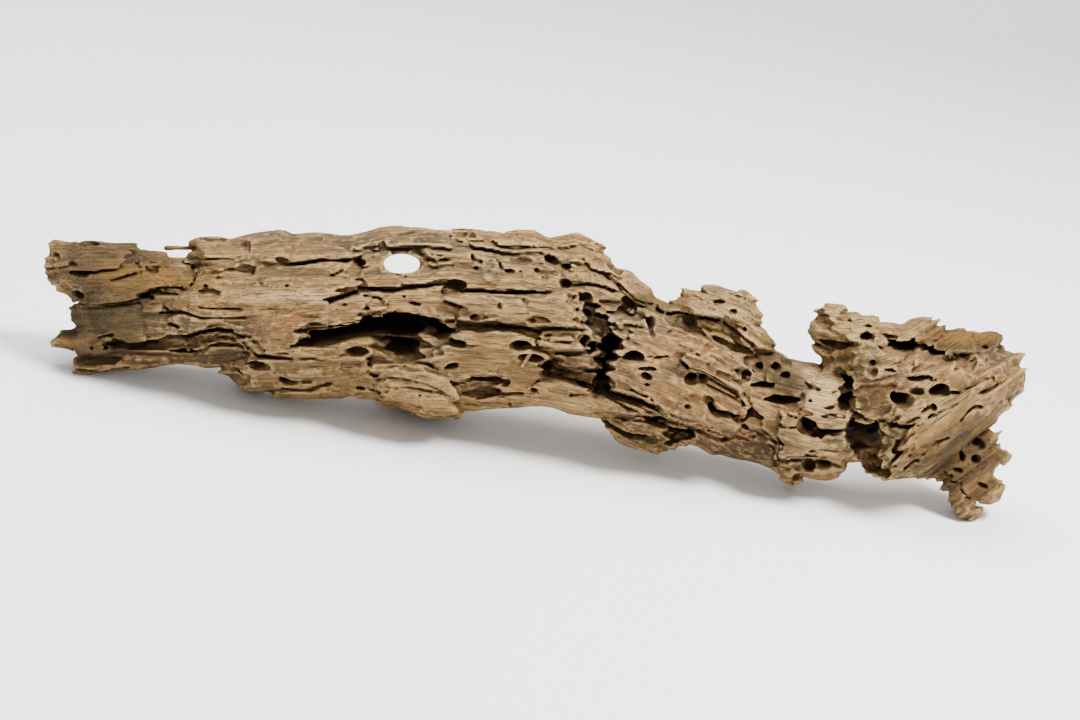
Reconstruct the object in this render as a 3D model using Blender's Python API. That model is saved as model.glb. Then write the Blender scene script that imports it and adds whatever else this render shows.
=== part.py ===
"""A length of honeycomb wood: a bored and weathered branch, lying on its own low points.

The wood grew as one piece, so it is one solid. Its face is laid out flat, in millimetres from its
middle, x to the right and y up, with z towards the viewer. The round branch, its
broken plates and the galleries bored into it are worked out as one volume in that layout. The
volume's skin is meshed, thinned by a Decimate modifier, turned to the pose in which the wood
rests, and trimmed by a Boolean where its low points meet the floor.
"""

import math

import bmesh
import bpy
import numpy as np
import openvdb
from mathutils import Matrix, Vector

# Driving sizes, in millimetres and degrees

MM = 0.001
VOXEL = 2.0
TRIANGLES = 11800
VIEW_DISTANCE = 900.0
PITCH = 20.0
ROLL = 9.5
ORIGIN = (4.5, -7.8, 45.4)

# The branch: its outline, and its depth at stations along x

OUTLINE = [
    (-249.5, 52), (-247.5, 56), (-244, 60.5), (-235, 59.5), (-202, 58.5), (-199.5, 55),
    (-186.5, 54.5), (-185, 51.5), (-176, 51.5), (-174, 55), (-175, 59), (-171.5, 61),
    (-161.5, 61), (-154.5, 60), (-142.5, 63), (-131.5, 64.5), (-123.5, 62.5), (-116, 63.5),
    (-100, 62.5), (-87.5, 64), (-81, 66), (-70, 66.5), (-55, 66.5), (-40, 65.5), (-20, 64),
    (-11, 65), (-3, 64.5), (3.5, 61), (11, 62), (18.5, 64), (24, 62), (32, 57.5), (33.5, 53),
    (36.5, 49.5), (39, 45), (46, 44), (51, 39), (56, 35.5), (58.5, 31.5), (64, 28.5),
    (68.5, 30), (70.5, 32), (69, 34), (72, 35.5), (80, 35), (81, 37), (85, 37.5), (92, 35.5),
    (98, 34.5), (104, 35), (108.5, 32), (109, 28), (111.5, 24), (111.5, 19), (108.5, 17),
    (112.5, 14.5), (117.5, 9), (117, 5), (125, 1),
    (135, -1), (141, -3), (140.5, 0), (137.5, 4), (136, 7.5), (144.5, 6), (136, 10.5),
    (134.5, 14), (134.5, 16.5), (136.5, 18.5),
    (138.5, 22), (137.5, 24.5), (140.5, 25.5), (143, 28), (152.5, 27.5), (154, 23.5),
    (160, 24), (166, 22), (170, 19.5), (180, 19), (187.5, 21), (193.5, 21.5), (198, 19.5),
    (202.5, 16.5), (202.5, 14.5), (209, 16), (215, 15.5), (217.5, 13), (224, 14.5),
    (229, 14), (232.5, 12), (230.5, 8), (236, 5), (244, 2.5), (240, -2.5), (243.5, -6),
    (244, -11), (241.5, -16), (238.5, -20), (236.5, -24), (231.5, -27.5), (229, -31),
    (225.5, -34), (217.5, -40), (207.5, -49), (195, -58.5), (182.5, -59), (177.5, -60),
    (172.5, -60.5), (167, -58), (163.5, -55), (161.5, -50.5), (156, -50.5), (153.5, -50),
    (153, -55), (149, -58.5), (142.5, -60), (136, -59.5), (131.5, -58), (130, -62),
    (127.5, -63.5), (122.5, -61.5), (119, -57.5), (115, -54), (107.5, -51), (100, -49.5),
    (91, -46), (86, -46.5), (80, -43.5), (75, -42), (69, -42.5), (65, -45), (58.5, -47), (50, -45), (43, -42.5),
    (37.5, -41), (35, -36.5), (32.5, -31.5), (31.5, -28.5),
    (22.5, -28), (15, -27), (9, -25), (2.5, -24), (-10, -24), (-25, -24.5), (-38.5, -25.5),
    (-39.5, -29), (-47.5, -29.5), (-55, -29), (-65, -26.5), (-72.5, -23.5), (-82, -22),
    (-82.5, -19.5), (-100, -19), (-134, -19), (-132.5, -16), (-147.5, -15.5), (-151, -13),
    (-154.5, -8.5), (-159, -5), (-158.5, -2), (-167.5, -3), (-181.5, -2), (-195, -2.5),
    (-210, -4.5), (-225, -7), (-232.5, -6.5), (-233.5, -1), (-232, 3), (-237, 4.5),
    (-245, 5.5), (-246, 9), (-244, 12.5), (-240, 15.5), (-234, 15.5), (-234, 18), (-237, 24),
    (-238, 27), (-236.5, 30), (-242.5, 32), (-246, 36), (-247, 42), (-248, 45), (-249.5, 49),
]
STATION_X = [-250, -235, -200, -150, -100, 0, 30, 60, 100, 130, 150, 180, 215, 244]
HALF_DEPTH = [15, 23, 29, 35, 39, 39, 36, 34, 30, 24, 24, 31, 29, 12]
MID_DEPTH = [-10, -12, -12, -12, -10, -10, -10, -11, -10, -8, -8, -8, -8, -6]
ROUNDING = 0.86

# The leg under the right end, which stands behind the front plate

LEG = [
    (225, -35), (229.5, -36.5), (227.5, -39), (228, -42.5), (231.5, -45), (235, -47.5),
    (234, -51), (231.5, -53.5), (229, -52), (226.5, -55), (230, -61), (233, -61),
    (231.5, -65), (230, -68.5), (229.5, -71), (225, -72), (217.5, -71), (221, -75),
    (220.5, -78), (214.5, -80.5), (211, -79.5), (207.5, -76.5), (205, -71.5), (203, -66.5),
    (200, -62), (194, -59), (197, -50), (208, -38),
]
LEG_HALF_DEPTH = 12.0
LEG_MID_DEPTH = -14.0
LEG_ROUNDING = 0.8

# The stub of a side branch low on the back, on which the wood also rests

STUB_CENTRE = (-58.0, -8.0, -38.0)
STUB_HALF = (21.0, 19.0, 14.0)

# Fibre direction: the height of one fibre line at stations along x

FIBRE_X = [-300, -60, 0, 30, 60, 110, 150, 180, 245, 300]
FIBRE_Y = [-8, 0, -4, -10, -20, -45, -55, -48, -3, 34]
FIBRE_BLEND = 31

# Plates of the face, in the order they lie over each other (level, outline), and hollows that sink
# into it (depth, outline)

PLATES = [
    (-5, [(-157.5, 67.5), (-94, 67.5), (-92, 62), (-105, 59.5), (-120, 60), (-139, 61), (-154, 60)]),
    (3, [(-250, 62), (-201, 60), (-198.5, 55.5), (-186, 55), (-181, 50.5), (-175, 48.5), (-172, 45),
         (-171.5, 40), (-174, 36), (-181, 35.5), (-190, 35.5), (-196, 34.5), (-199, 32),
         (-195, 30.5), (-200, 29.5), (-210, 28.5), (-225, 27.5), (-238, 28), (-245, 35), (-250, 49)]),
    (4, [(-172, 62), (-140, 60), (-105, 57.5), (-94, 57), (-70, 62.5), (-46, 64), (-44, 55),
         (-60, 57), (-76, 56), (-90, 54), (-102.5, 49), (-114, 49), (-125, 48), (-139, 49),
         (-150, 49), (-162.5, 51), (-171.5, 52)]),
    (3, [(-171.5, 51.5), (-150, 49), (-139, 49), (-125, 48), (-102.5, 49), (-94, 48), (-105, 41.5),
         (-157.5, 41), (-165, 39.5), (-171.5, 38)]),
    (6, [(-94, 49), (-77, 49), (-72, 44), (-57.5, 44), (-50, 46), (-35, 47), (-20, 43), (10, 44),
         (12.5, 35), (-2, 34.5), (-37, 34.5), (-47.5, 38), (-60, 37), (-70, 36.5), (-89, 36.5),
         (-91, 40.5), (-102.5, 41.5)]),
    (4, [(-57.5, 56), (-44, 55), (-20, 54), (-2, 53), (4, 49), (10, 44), (-20, 43), (-35, 47),
         (-50, 46), (-57.5, 49)]),
    (2, [(-44, 67), (-20, 66), (-5, 66), (10, 62), (20, 65), (33, 60), (32, 52), (23, 51), (15, 52),
         (-2, 55), (-35, 58.5), (-44, 60)]),
    (5, [(-35, 58.5), (-20, 56.5), (-2, 55), (16, 53), (23, 49), (14, 47), (4, 51), (-2, 53),
         (-20, 54.5), (-35, 55.5)]),
    (8, [(-190, 25), (-189.5, 27.5), (-186, 29.5), (-181, 32), (-175, 35), (-170.5, 38), (-163, 40),
         (-150, 41), (-127.5, 41.5), (-105, 41.5), (-95, 40.5), (-89, 39), (-90, 35), (-94, 33),
         (-106, 29.5), (-106.5, 27.5), (-90, 31.5), (-78, 30.5), (-76, 27), (-70, 28), (-47.5, 26),
         (-44, 22), (-46, 19), (-57.5, 22), (-63.5, 23), (-70, 23.5), (-75, 22.5), (-84, 20.5),
         (-97.5, 17.5), (-107.5, 16.5), (-115, 16), (-117, 14), (-112, 12), (-118, 9.5),
         (-120, 7.5), (-115, 5), (-111, 2), (-112.5, -1), (-130, 1.5), (-139, 3), (-144, 4.5),
         (-148, 7), (-150, 9.5), (-147, 12), (-149.5, 14.5), (-154, 15.5), (-164, 16), (-170, 14.5),
         (-175, 13), (-180.5, 14.5), (-182, 17.5), (-185, 19.5), (-183.5, 23)]),
    (5, [(-89, 36), (-70, 35.5), (-60, 36.5), (-47.5, 37.5), (-47, 31), (-44, 30), (-40.5, 24),
         (-40.5, 20), (-46, 19), (-50, 20.5), (-57.5, 22), (-70, 24.5), (-77, 23), (-78, 30),
         (-89, 32)]),
    (4.5, [(-160.5, -1), (-159, -3), (-152, -6.5), (-147, -11), (-150, -14.5), (-139, -15.5),
           (-125, -14.5), (-114, -13.5), (-105, -11.5), (-84, -10), (-85, 0), (-97.5, 1.5),
           (-111, 1.5), (-130, 2), (-139, 1), (-146, 0), (-152.5, -1)]),
    (2, [(-134, -14), (-120, -15.5), (-105, -13), (-84, -13), (-81, -18), (-90, -20.5), (-134, -20)]),
    (7, [(-119, 7), (-107.5, 5.5), (-100, 8), (-92, 10.5), (-86, 10), (-83.5, 5), (-87, -1),
         (-97.5, -1), (-111, 1), (-116, 4)]),
    (0, [(-237, 26.5), (-205, 28.5), (-190, 29.5), (-184, 23.5), (-185, 19.5), (-181, 14.5),
         (-177, 12), (-190, 9), (-205, 7), (-217, 4), (-238, 4), (-234, 18)]),
    (1.5, [(-200, 30), (-189, 30), (-190, 24), (-199, 23.5)]),
    (2, [(-246, 9), (-244, 13.5), (-240, 16), (-232, 14.5), (-222, 13.5), (-214, 12), (-218, 7.5),
         (-214, 4), (-238, 4), (-245, 5)]),
    (-5, [(-234, 4), (-210, 5), (-167, 5), (-167, -1), (-205, -4), (-231, -4)]),
    (-7, [(-167, 7), (-159, 9), (-152, 7.5), (-145, 5.5), (-141.5, 3.5), (-146, 1), (-155, -0.5),
          (-167.5, -2), (-175, 2)]),
    (4, [(-42.5, 15), (-17.5, 14.5), (-5, 12), (2.5, 5), (3, -3), (0, -9), (10, -10.5), (25, -15),
         (10, -26), (-20, -25), (-39, -24), (-20, -16), (-19, -8), (-35, -8), (-42.5, -11),
         (-55, -3), (-60, -1), (-53, 5), (-44, 10)]),
    (0, [(-45, 19.5), (-20, 19), (-5, 16.5), (2.5, 14), (-5, 11.5), (-17.5, 14.5), (-42.5, 15),
         (-45, 17)]),
    (10, [(-46.5, 31.5), (-42.5, 32.5), (-37, 33.5), (-2, 33.5), (14, 36), (18, 33), (16, 29),
          (20, 27), (19, 22), (22, 20), (20.5, 16), (10, 15.5), (0, 15), (-4, 16), (-17.5, 17.5),
          (-20, 19.5), (-30, 19), (-39.5, 19.5), (-40.5, 23.5), (-42.5, 27.5)]),
    (7.5, [(0, 14.5), (10, 15), (19, 15.5), (21.5, 13), (20, 10), (22.5, 7), (19, 5.5), (10, 5),
           (2.5, 6), (-2, 10)]),
    (10, [(-86, -4), (-84, -6), (-81, -6.5), (-82, -12), (-80, -15), (-78.5, -18), (-82, -20.5),
          (-81, -23), (-74, -25.5), (-67.5, -27), (-60, -29), (-50, -30), (-42, -31), (-38, -29.5),
          (-39.5, -24), (-38, -19), (-42.5, -12), (-47, -7), (-57.5, -3), (-70, -1.5), (-80, -1.5)]),
    (8, [(0.5, -9.5), (8, -10), (17.5, -12), (26, -14.5), (24, -16), (32.5, -18), (40, -23),
         (43, -26), (36, -28.5), (30, -28.5), (22.5, -29), (15, -27.5), (9, -25.5), (0, -24.5),
         (-8, -24), (-5, -18)]),
    (-11, [(22.5, 30), (31, 27.5), (36, 21), (36, 14), (38, 9), (38.5, 4), (37, -2), (36, -8),
           (34.5, -16), (28, -15.5), (17.5, -13.5), (7.5, -9.5), (0, -7), (3.5, -3), (3, 4),
           (11, 4.5), (23, 5.5), (27, 9.5), (24, 15), (23, 22)]),
    (-6, [(4, 3.5), (17.5, 3), (28, 5), (30, -3), (20, -6), (9, -4)]),
    (-20, [(32, 12), (36.5, 13.5), (38.5, 8), (38.5, 3), (37, -3), (31.5, -3), (29, 4)]),
    (7, [(23, 51.5), (29, 53), (35, 50.5), (39, 46), (42, 40), (37, 42), (32, 45), (25, 46.5)]),
    (4, [(10, 46), (24, 46), (31, 43.5), (37, 39), (40, 34.5), (33, 37), (25, 38.5), (16, 38),
         (11, 40)]),
    (1, [(16, 37.5), (26, 37.5), (33, 35), (38, 31.5), (30, 29.5), (21, 31.5), (15, 33.5)]),
    (-3, [(30, 29.5), (39, 29.5), (47, 24), (46, 21), (34, 22), (28, 24)]),
    (6, [(41, 46), (50, 44), (56, 38), (62, 30), (60, 26), (54, 26), (47, 29), (42, 34), (39, 40)]),
    (4, [(48, 25.5), (56, 26), (62, 21), (66, 15), (55, 14.5), (37, 15.5), (42, 20), (52.5, 20)]),
    (9, [(36, 14.5), (50, 15.5), (60, 14.5), (75, 14), (83, 11), (90, 6), (102.5, 2), (104, -19),
         (106, -25), (102, -30), (99, -35), (91, -38), (82.5, -35), (75, -32), (66, -29), (60, -25),
         (55, -22), (50, -19.5), (42.5, -17.5), (35.5, -15.5), (36.5, -11), (35, -7), (37.5, -2),
         (36, 2), (39, 5), (36.5, 8), (38, 11)]),
    (14, [(71.5, 1.5), (76, 4), (86, 5), (94, 5), (100, 2), (101.5, -3), (97.5, -6), (100, -12),
          (104, -18.5), (106, -24), (102.5, -22), (98, -16), (90, -11), (82, -6.5), (75, -5.5),
          (73, -2.5)]),
    (-14, [(67, 35), (72, 37), (80, 40), (115, 38), (115, 14), (106, 16), (99, 21), (90, 26.5),
           (80, 30), (69, 30)]),
    (14, [(60, 28.5), (70, 30), (81, 29), (91, 25.5), (100, 20.5), (108, 15.5), (120, 13), (120, 4),
          (114, 3), (108.5, 5), (104, 9), (97.5, 15.5), (91, 20), (80, 22), (72, 24), (62, 24)]),
    (1, [(64, 23.5), (80, 21.5), (91, 19), (97.5, 14.5), (104, 8), (108.5, 4), (114, 2), (102.5, 2),
         (90, 6.5), (83, 11.5), (75, 14.5), (64, 15)]),
    (3, [(83, 21), (91, 19.5), (92, 13.5), (86, 15), (82, 18)]),
    (2, [(35.5, -16.5), (50, -20.5), (60, -26), (67, -30), (60, -30), (50, -25.5), (40, -22)]),
    (-6, [(75, -33.5), (91, -38.5), (100, -36), (112.5, -35), (120, -42.5), (115, -52.5),
          (100, -51), (80, -45), (70, -42)]),
    (-14, [(28, -26), (42.5, -26), (60, -27), (75, -35), (75, -48), (50, -48), (30, -35)]),
    (-9, [(33, -29), (50, -29), (62, -33), (61, -40), (50, -39), (36, -33)]),
    (-6, [(114, 4), (125, 4), (141, -2), (139, -9), (131.5, -17), (128.5, -22.5), (110, -22),
          (102, -19), (101, -10), (102, 1)]),
    (2, [(106, -19), (117.5, -22), (128.5, -24), (126, -29), (121, -30), (120, -40), (113, -35),
         (108, -26)]),
    (12, [(141, -3), (139, -10), (132, -17), (129, -22), (126, -28.5), (130, -30), (142, -36),
          (153, -35.5), (159, -29.5), (154, -26), (149.5, -23), (151, -18), (148, -14), (153, -10),
          (150, -6), (145, -4)]),
    (9, [(122, -26), (120, -35), (120, -43), (115, -49), (118, -51.5), (125, -49.5), (145, -50),
         (155, -55), (154.5, -51), (155, -45), (156.5, -40), (154.5, -35.5), (142.5, -37),
         (130, -30), (126, -29)]),
    (5, [(116, -52), (125, -50.5), (136, -56), (133, -64), (118, -62)]),
    (7, [(133, -55), (145, -53), (155, -54), (155, -62), (133, -62)]),
    (5, [(155, 27), (205, 19), (232, 16), (246, 3), (236, -7), (222.5, -14), (210, -21),
         (197.5, -27), (182.5, -30), (176.5, -32), (159, -20), (153, -10), (143, -3), (148, 5),
         (155, 7.5)]),
    (9, [(170, 19), (186, 21), (195, 22), (202.5, 16), (200, 10), (191, 7.5), (180, 11), (172, 14)]),
    (8, [(206, 16), (216, 17), (232.5, 15), (230, 7.5), (217.5, 6), (209, 9)]),
    (2, [(207.5, 4), (222.5, 4), (230, -1), (217.5, -8), (206, -3)]),
    (7, [(157.5, 5), (170, 4), (180, -2), (178, -8), (163, -10), (155, -3)]),
    (3, [(159, -12), (180, -12), (176, -26), (169, -30), (159, -27), (155, -20)]),
    (8, [(179, -24), (191, -19), (197.5, -26), (192.5, -32), (180, -32)]),
    (9.5, [(174, -62), (175, -55), (180, -50), (180.5, -42.5), (183, -35), (188, -32), (197, -28),
           (205, -21.5), (211, -15.5), (219, -12), (228, -8), (235, -4), (248, -1), (248, -12),
           (242, -19), (236, -26), (230, -32), (224, -36), (217.5, -42), (210, -48.5),
           (202.5, -53.5), (195, -59), (185, -62)]),
]

HOLLOWS = [
    (30, [(-117, 15.5), (-111, 14.5), (-107.5, 16), (-97.5, 17.5), (-90, 19), (-84, 20), (-76, 22),
          (-69, 23), (-63.5, 22.5), (-57.5, 21.5), (-51.5, 20), (-47, 19.5), (-49, 16), (-44, 14.5),
          (-44.5, 11), (-50, 10), (-53, 12.5), (-57.5, 14.5), (-59.5, 11.5), (-58, 9.5), (-65, 9.5),
          (-72, 11), (-80, 11.5), (-89, 11), (-95, 10), (-100, 8.5), (-107.5, 7.5), (-114, 5.5),
          (-118.5, 6.5), (-119.5, 8), (-116, 10), (-112, 11), (-114, 13)]),
    (12, [(-85, 11.5), (-72, 11), (-58, 9.5), (-53, 6.5), (-61, 3.5), (-58, 0), (-68, -2),
          (-76, 1.5), (-83, 5)]),
    (26, [(-76, 8.5), (-69, 8), (-63, 5), (-60, 3.5), (-64, 0), (-71, 0.5), (-76, 2.5)]),
    (20, [(-216, 8.5), (-212, 9.5), (-206, 8.5), (-200, 9), (-194, 11), (-185, 13), (-177, 12),
          (-170, 13.5), (-163, 15), (-153, 14.5), (-148.5, 12), (-150, 9.5), (-157, 8.5),
          (-166, 6.5), (-172, 4), (-185, 5), (-195, 5), (-210, 4.5)]),
    (9, [(-39.5, -10.5), (-35, -9.5), (-31, -8.5), (-26, -10), (-20.5, -9), (-19, -11.5),
         (-21, -17), (-27, -20.5), (-33, -20), (-38.5, -16)]),
    (22, [(30.5, -6), (35, -8), (34.5, -15.5), (28, -15.5), (29, -10)]),
    (20, [(168.5, 5), (172, 7), (176, 8.5), (181, 9.5), (186, 10), (188, 8), (190, 5.5), (196, 6),
          (202, 4.5), (205, 1.5), (203, -0.5), (196, -1.5), (189, 0), (182, -1), (175, 1), (171, 3)]),
    (17, [(154, -35), (158, -30.5), (164, -32), (170, -30), (173, -34), (171, -40), (169, -46),
          (171, -52), (175, -55), (174, -60), (165, -57), (161, -51), (155, -48), (156, -42)]),
    (23, [(155, -35), (158.5, -30.5), (164, -32), (170, -30.5), (172, -35), (170, -40),
          (164, -42.5), (158.5, -41.5)]),
    (21, [(158, -48), (164, -50.5), (170, -51), (173, -56), (174, -60), (166, -57), (161, -51.5)]),
    (11, [(177.5, -40), (180.5, -41), (180.5, -48), (178.5, -53), (174.5, -55), (177, -48)]),
    (16, [(150.5, -19.5), (154, -18), (158, -18.5), (159, -21.5), (156.5, -25), (153, -26),
          (150, -24.5)]),
    (20, [(30, 12.5), (33.5, 14), (36.5, 11), (38.5, 7), (38, 2), (36, -2), (35.5, -7), (35, -15),
          (30, -15.5), (26, -14), (29, -8), (32, -2), (30, 5)]),
    (15, [(62, -32), (70, -34), (76, -35), (75, -39), (68, -40.5), (66, -43), (62, -42), (64, -39),
          (61, -38)]),
    (12, [(50, -25), (57, -26), (62, -29), (62, -34), (55, -32.5), (50, -30)]),
    (12, [(88, 12), (94, 9), (102.5, 5), (109, 2), (106, 1), (97.5, 3.5), (91, 6.5), (86.5, 10)]),
    (8, [(74, 17.5), (81.5, 16.5), (84, 12), (78, 14.5)]),
    (7, [(-76, 55), (-64, 56), (-58, 54.5), (-59, 50.5), (-64, 52), (-74, 52)]),
    (8, [(-89, 35.5), (-78, 35.5), (-82, 33), (-89, 33)]),
    (5, [(-89, 32), (-80, 32), (-77, 26), (-88, 25)]),
    (5, [(-170, 34.5), (-159, 34.5), (-158, 32.5), (-169, 31)]),
    (8, [(2, 3), (9, 2), (13, -3), (18, -6), (11, -8), (4, -7), (0.5, -4), (4, -1)]),
    (7, [(139, 24), (143, 25), (146, 21), (146, 15), (141, 15), (137, 19)]),
    (14, [(138, 10.5), (147, 10), (153, 9), (154.5, 5.5), (149, 6), (142, 7.5)]),
    (7, [(211, 4), (218, 1), (216, -6), (209, -5), (207, 0)]),
    (8, [(-232.5, 2.5), (-222, 3), (-210, 1.5), (-211, -2), (-224, -3.5), (-232, -3)]),
]

# Galleries that open on the face: x, y, half length, half width, turn in degrees, depth; one that is
# deeper than the wood is thick runs right through

THROUGH = 100.0
GALLERIES = [
    (-69, 48, 8.5, 4.5, 0, 120), (-230, 42.5, 4.5, 1.5, 0, 10), (-231, 32.5, 4, 2, 0, 12),
    (-204, 50, 5.5, 2, 14, 12), (-194, 45, 3, 1.5, -12, 8), (-175.5, 44.5, 3.5, 2, -35, 10),
    (-147, 44.5, 4.5, 2.5, 0, 12), (-140, -3.5, 5, 2.5, -8, 15), (-125.5, -10.5, 6, 2.5, 0, 16),
    (-91.5, 3.5, 5.5, 2.5, 0, 10), (-92.5, 45.5, 4, 2.5, -8, 16), (-79.5, 56.5, 2, 2.5, -30, 8),
    (-40, 61.5, 4.5, 2, 0, 6), (-34, 61.5, 1.5, 2, 0, 8), (-42, 36.5, 5.5, 3, 0, 10),
    (-47.5, 13, 3, 2.5, 0, 16), (-41, 7.5, 4.5, 2, -8, 14), (-44, -3.5, 3.5, 1.5, 15, 10),
    (-32.5, 21, 2.5, 1.5, 0, 8), (-29.5, -11.5, 9, 2.2, 0, 18), (5.5, 49.5, 3.5, 2, -15, 9),
    (13, 38, 2, 2, 20, 6), (-10, 7, 5.5, 3, 0, 18), (-5, 1, 6.5, 2.5, -8, 15),
    (4, -4.5, 3.5, 2, -20, 10), (22.5, 9, 2.5, 3.5, -25, 12), (25.5, 7, 2, 3, -20, 14),
    (23, 30.5, 3.5, 2.5, 0, 10), (24, 23.5, 2, 1.5, -30, 8), (47, 1, 5.5, 2.8, 0, 16),
    (53, -8.5, 2.5, 1.5, -20, 10), (75.5, -9.5, 3.5, 2.5, 0, 14), (81.5, -9.5, 2.5, 2, 0, 12),
    (83, 5.5, 2, 1.5, 0, 8), (55, 18, 1.8, 3, -20, 8), (41.5, 25, 2.5, 1.5, 0, 6),
    (44, 28, 4, 2, -45, 8), (84, -20.5, 2, 3, 30, 14), (87, -25, 3.5, 2, -50, 14),
    (93, -27.5, 4, 1.8, -12, 14), (98, -28.5, 2.5, 1.8, 0, 14), (102, -8.5, 3, 2.5, 0, 10),
    (105.5, -26.5, 3.5, 2.5, -30, 14), (109, -28.5, 3, 2, -25, 10), (102, -34, 2.5, 1.5, -40, 8),
    (108.5, -4, 2, 2, -30, 8), (118, -3.5, 2, 2, -30, 9), (122.5, -8.5, 2.5, 1.5, 0, 11),
    (111.5, -13, 6, 1.5, -5, 14), (121, -20.5, 9, 2.5, -3, 18), (102, 34, 2.5, 1.5, -30, 7),
    (75, 19, 3, 3.5, 0, 8), (135.5, -34, 4.5, 3, -40, 16), (133, -32.5, 4.5, 4, 0, 18),
    (140, -36.5, 3, 2.5, 0, 14), (134, -52.5, 3, 4, 0, 10), (141, -52, 4, 2, -15, 9),
    (163, 11, 3.5, 2, 0, 9), (166, -2, 1.5, 1.5, 0, 8), (150.5, -10, 6.5, 2.5, 0, 14),
    (155, -11.5, 3.5, 3, 0, 15), (145, -12, 2, 1.5, 0, 12), (154.5, -21, 3.5, 3, -20, 12),
    (151.5, -24.5, 2.5, 1.5, 0, 8), (158.5, -28, 3, 1.5, 0, 12), (181, -20, 4.5, 3.5, 0, 15),
    (200, -15.5, 5, 3, 0, 15), (193, -25.5, 3.5, 1.8, 20, 6), (196.5, -24, 2, 2, 30, 9),
    (176.5, -32, 2, 1.5, 0, 6), (219, -42, 3, 2.2, 0, 8), (218, -49.5, 2, 2.2, 0, 8),
    (170, -37, 2, 2, 0, 8),
]

# Galleries on the sides that the face does not show: how many, their half widths and depths, and how
# much longer than wide their mouths are

HIDDEN_GALLERIES = 46
HIDDEN_SEED = 7
HIDDEN_ALONG = (-240, 235)
HIDDEN_ROUND = (75, 285)
HIDDEN_HALF_WIDTH = (2.4, 4.2)
HIDDEN_DEPTH = (9, 20)
HIDDEN_STRETCH = (1.2, 2.6)
HIDDEN_LEAN = 0.7

# Where wear has smoothed the face (x, y, half width, half height), the torn layers hardly show

SMOOTH = [
    (139, -19, 22, 20), (120, -4, 24, 13), (212, -30, 36, 13), (222, -18, 24, 16), (30, 2, 9, 18),
    (18, -1, 16, 8), (-132, 8, 20, 14), (-215, 22, 26, 5), (178, 12, 30, 14), (178, -14, 22, 14),
    (206, 4, 26, 14), (100, -42, 20, 7), (-62, -17, 25, 13),
]
SMOOTHED = 0.8

# Broken fibre bundles (length, width, how far they sink) and torn growth layers (height of a riser,
# reach on the face, on the sides and on the back)

BUNDLE = (52.0, 15.0)
BUNDLE_DROP = 5.0
FACE_BUNDLE = (38.0, 7.5)
FACE_DROP = 0.7
TERRACE_RISER = 1.3
FACE_TERRACE = 2.4
SIDE_TERRACE = 7.0
BACK_TERRACE = 8.0
SWELLS = [(0.55, 46, 11), (0.3, 19, 4.5), (0.15, 8, 1.8)]
RISER_STEEPNESS = 0.22
TREAD_SLOPE = 0.12

# Ragged edges: how far torn fibres move an edge along and across the fibres, and how the plates'
# edges are undercut

RAGGED_ALONG = 2.6
RAGGED_ACROSS = 1.1
PLATE_EDGE = 1.2
UNDERCUT = 4.0
UNDERCUT_EDGE = (0.8, 4.8)
CALM = 0.45

# The ends lose up to END_TEETH where x is past END_FROM, and the relief of the face and of the back
# fades out either side of the middle of the depth

END_TEETH = 7.0
END_FROM = 226.0
END_FADE = 16.0
RELIEF_OVERLAP = 4.0
RELIEF_FADE = 14.0
EDGE_CORE = 5.0
EDGE_FADE = 8.0
WAVE = 1.1

# Hollows and galleries lean up into the wood, and hollows widen below their mouths

LEAN = 0.35
LEAN_ASIDE = 0.35
HOLLOW_FLARE = 0.12
FLARE_DEPTH = 12.0
FLOOR_SLOPE = 9.0
MARGIN = 8.0

# The layout's box, from low to high along x, y and z, and how far the volume's values count

BOX_X = (-257.0, 254.0)
BOX_Y = (-88.0, 76.0)
BOX_Z = (-66.0, 54.0)
BAND = 6.0
CELLS = 32
ROWS = 64

# The cutter whose top is the surface that the wood rests on, in metres

FLOOR_CUTTER = (0.7, 0.4, 0.05)

WOOD_COLOUR = (0.36, 0.25, 0.155, 1.0)
WOOD_ROUGHNESS = 0.92


def clear_scene():
    """Take away whatever the file opened with."""
    for item in list(bpy.data.objects):
        bpy.data.objects.remove(item, do_unlink=True)


def inside(points, x, y):
    """Distance into a closed outline, positive inside it and negative outside."""
    nearest = np.inf
    within = False
    for (ax, ay), (bx, by) in zip(points, points[1:] + points[:1]):
        run, rise = bx - ax, by - ay
        share = np.clip(((x - ax) * run + (y - ay) * rise) / (run * run + rise * rise), 0, 1)
        nearest = np.minimum(nearest, np.hypot(x - ax - share * run, y - ay - share * rise))
        if rise:
            within = within ^ ((y < ay) != (y < by)) & (x < ax + (y - ay) * run / rise)
    return np.where(within, nearest, -nearest)


def step(value):
    """A smooth climb from 0 to 1 while the value goes from 0 to 1."""
    value = np.clip(value, 0, 1)
    return value * value * (3 - 2 * value)


def noise(seed, *places):
    """Smooth noise from -1 to 1, at places counted in cells."""
    table = np.random.default_rng(seed).uniform(-1, 1, (CELLS,) * len(places))
    lows = [np.floor(place) for place in places]
    shares = [step(place - low) for place, low in zip(places, lows)]
    total = 0
    for corner in np.ndindex((2,) * len(places)):
        weight = 1
        for side, share in zip(corner, shares):
            weight = weight * (share if side else 1 - share)
        index = tuple((low.astype(int) + side) % CELLS for side, low in zip(corner, lows))
        total = total + weight * table[index]
    return total


def across_fibres(x, y):
    """How far a place lies across the fibres from the one that runs through the layout's middle."""
    stations = np.arange(FIBRE_X[0], FIBRE_X[-1] + 1.0)
    padded = np.pad(np.interp(stations, FIBRE_X, FIBRE_Y), FIBRE_BLEND // 2, mode="edge")
    line = np.convolve(padded, np.ones(FIBRE_BLEND) / FIBRE_BLEND, mode="valid")
    return y - np.interp(x, stations, line)


def ragged(x, y, share=1.0):
    """The layout's places, moved as torn fibre ends move an edge."""
    across = across_fibres(x, y)
    slope = across - across_fibres(x + 1, y)
    pull = share * RAGGED_ALONG * noise(1, x / 40, across / 3.4)
    push = share * RAGGED_ACROSS * noise(2, x / 15, across / 8)
    reach = np.hypot(1, slope)
    return x + (pull - push * slope) / reach, y + (pull * slope + push) / reach


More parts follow.
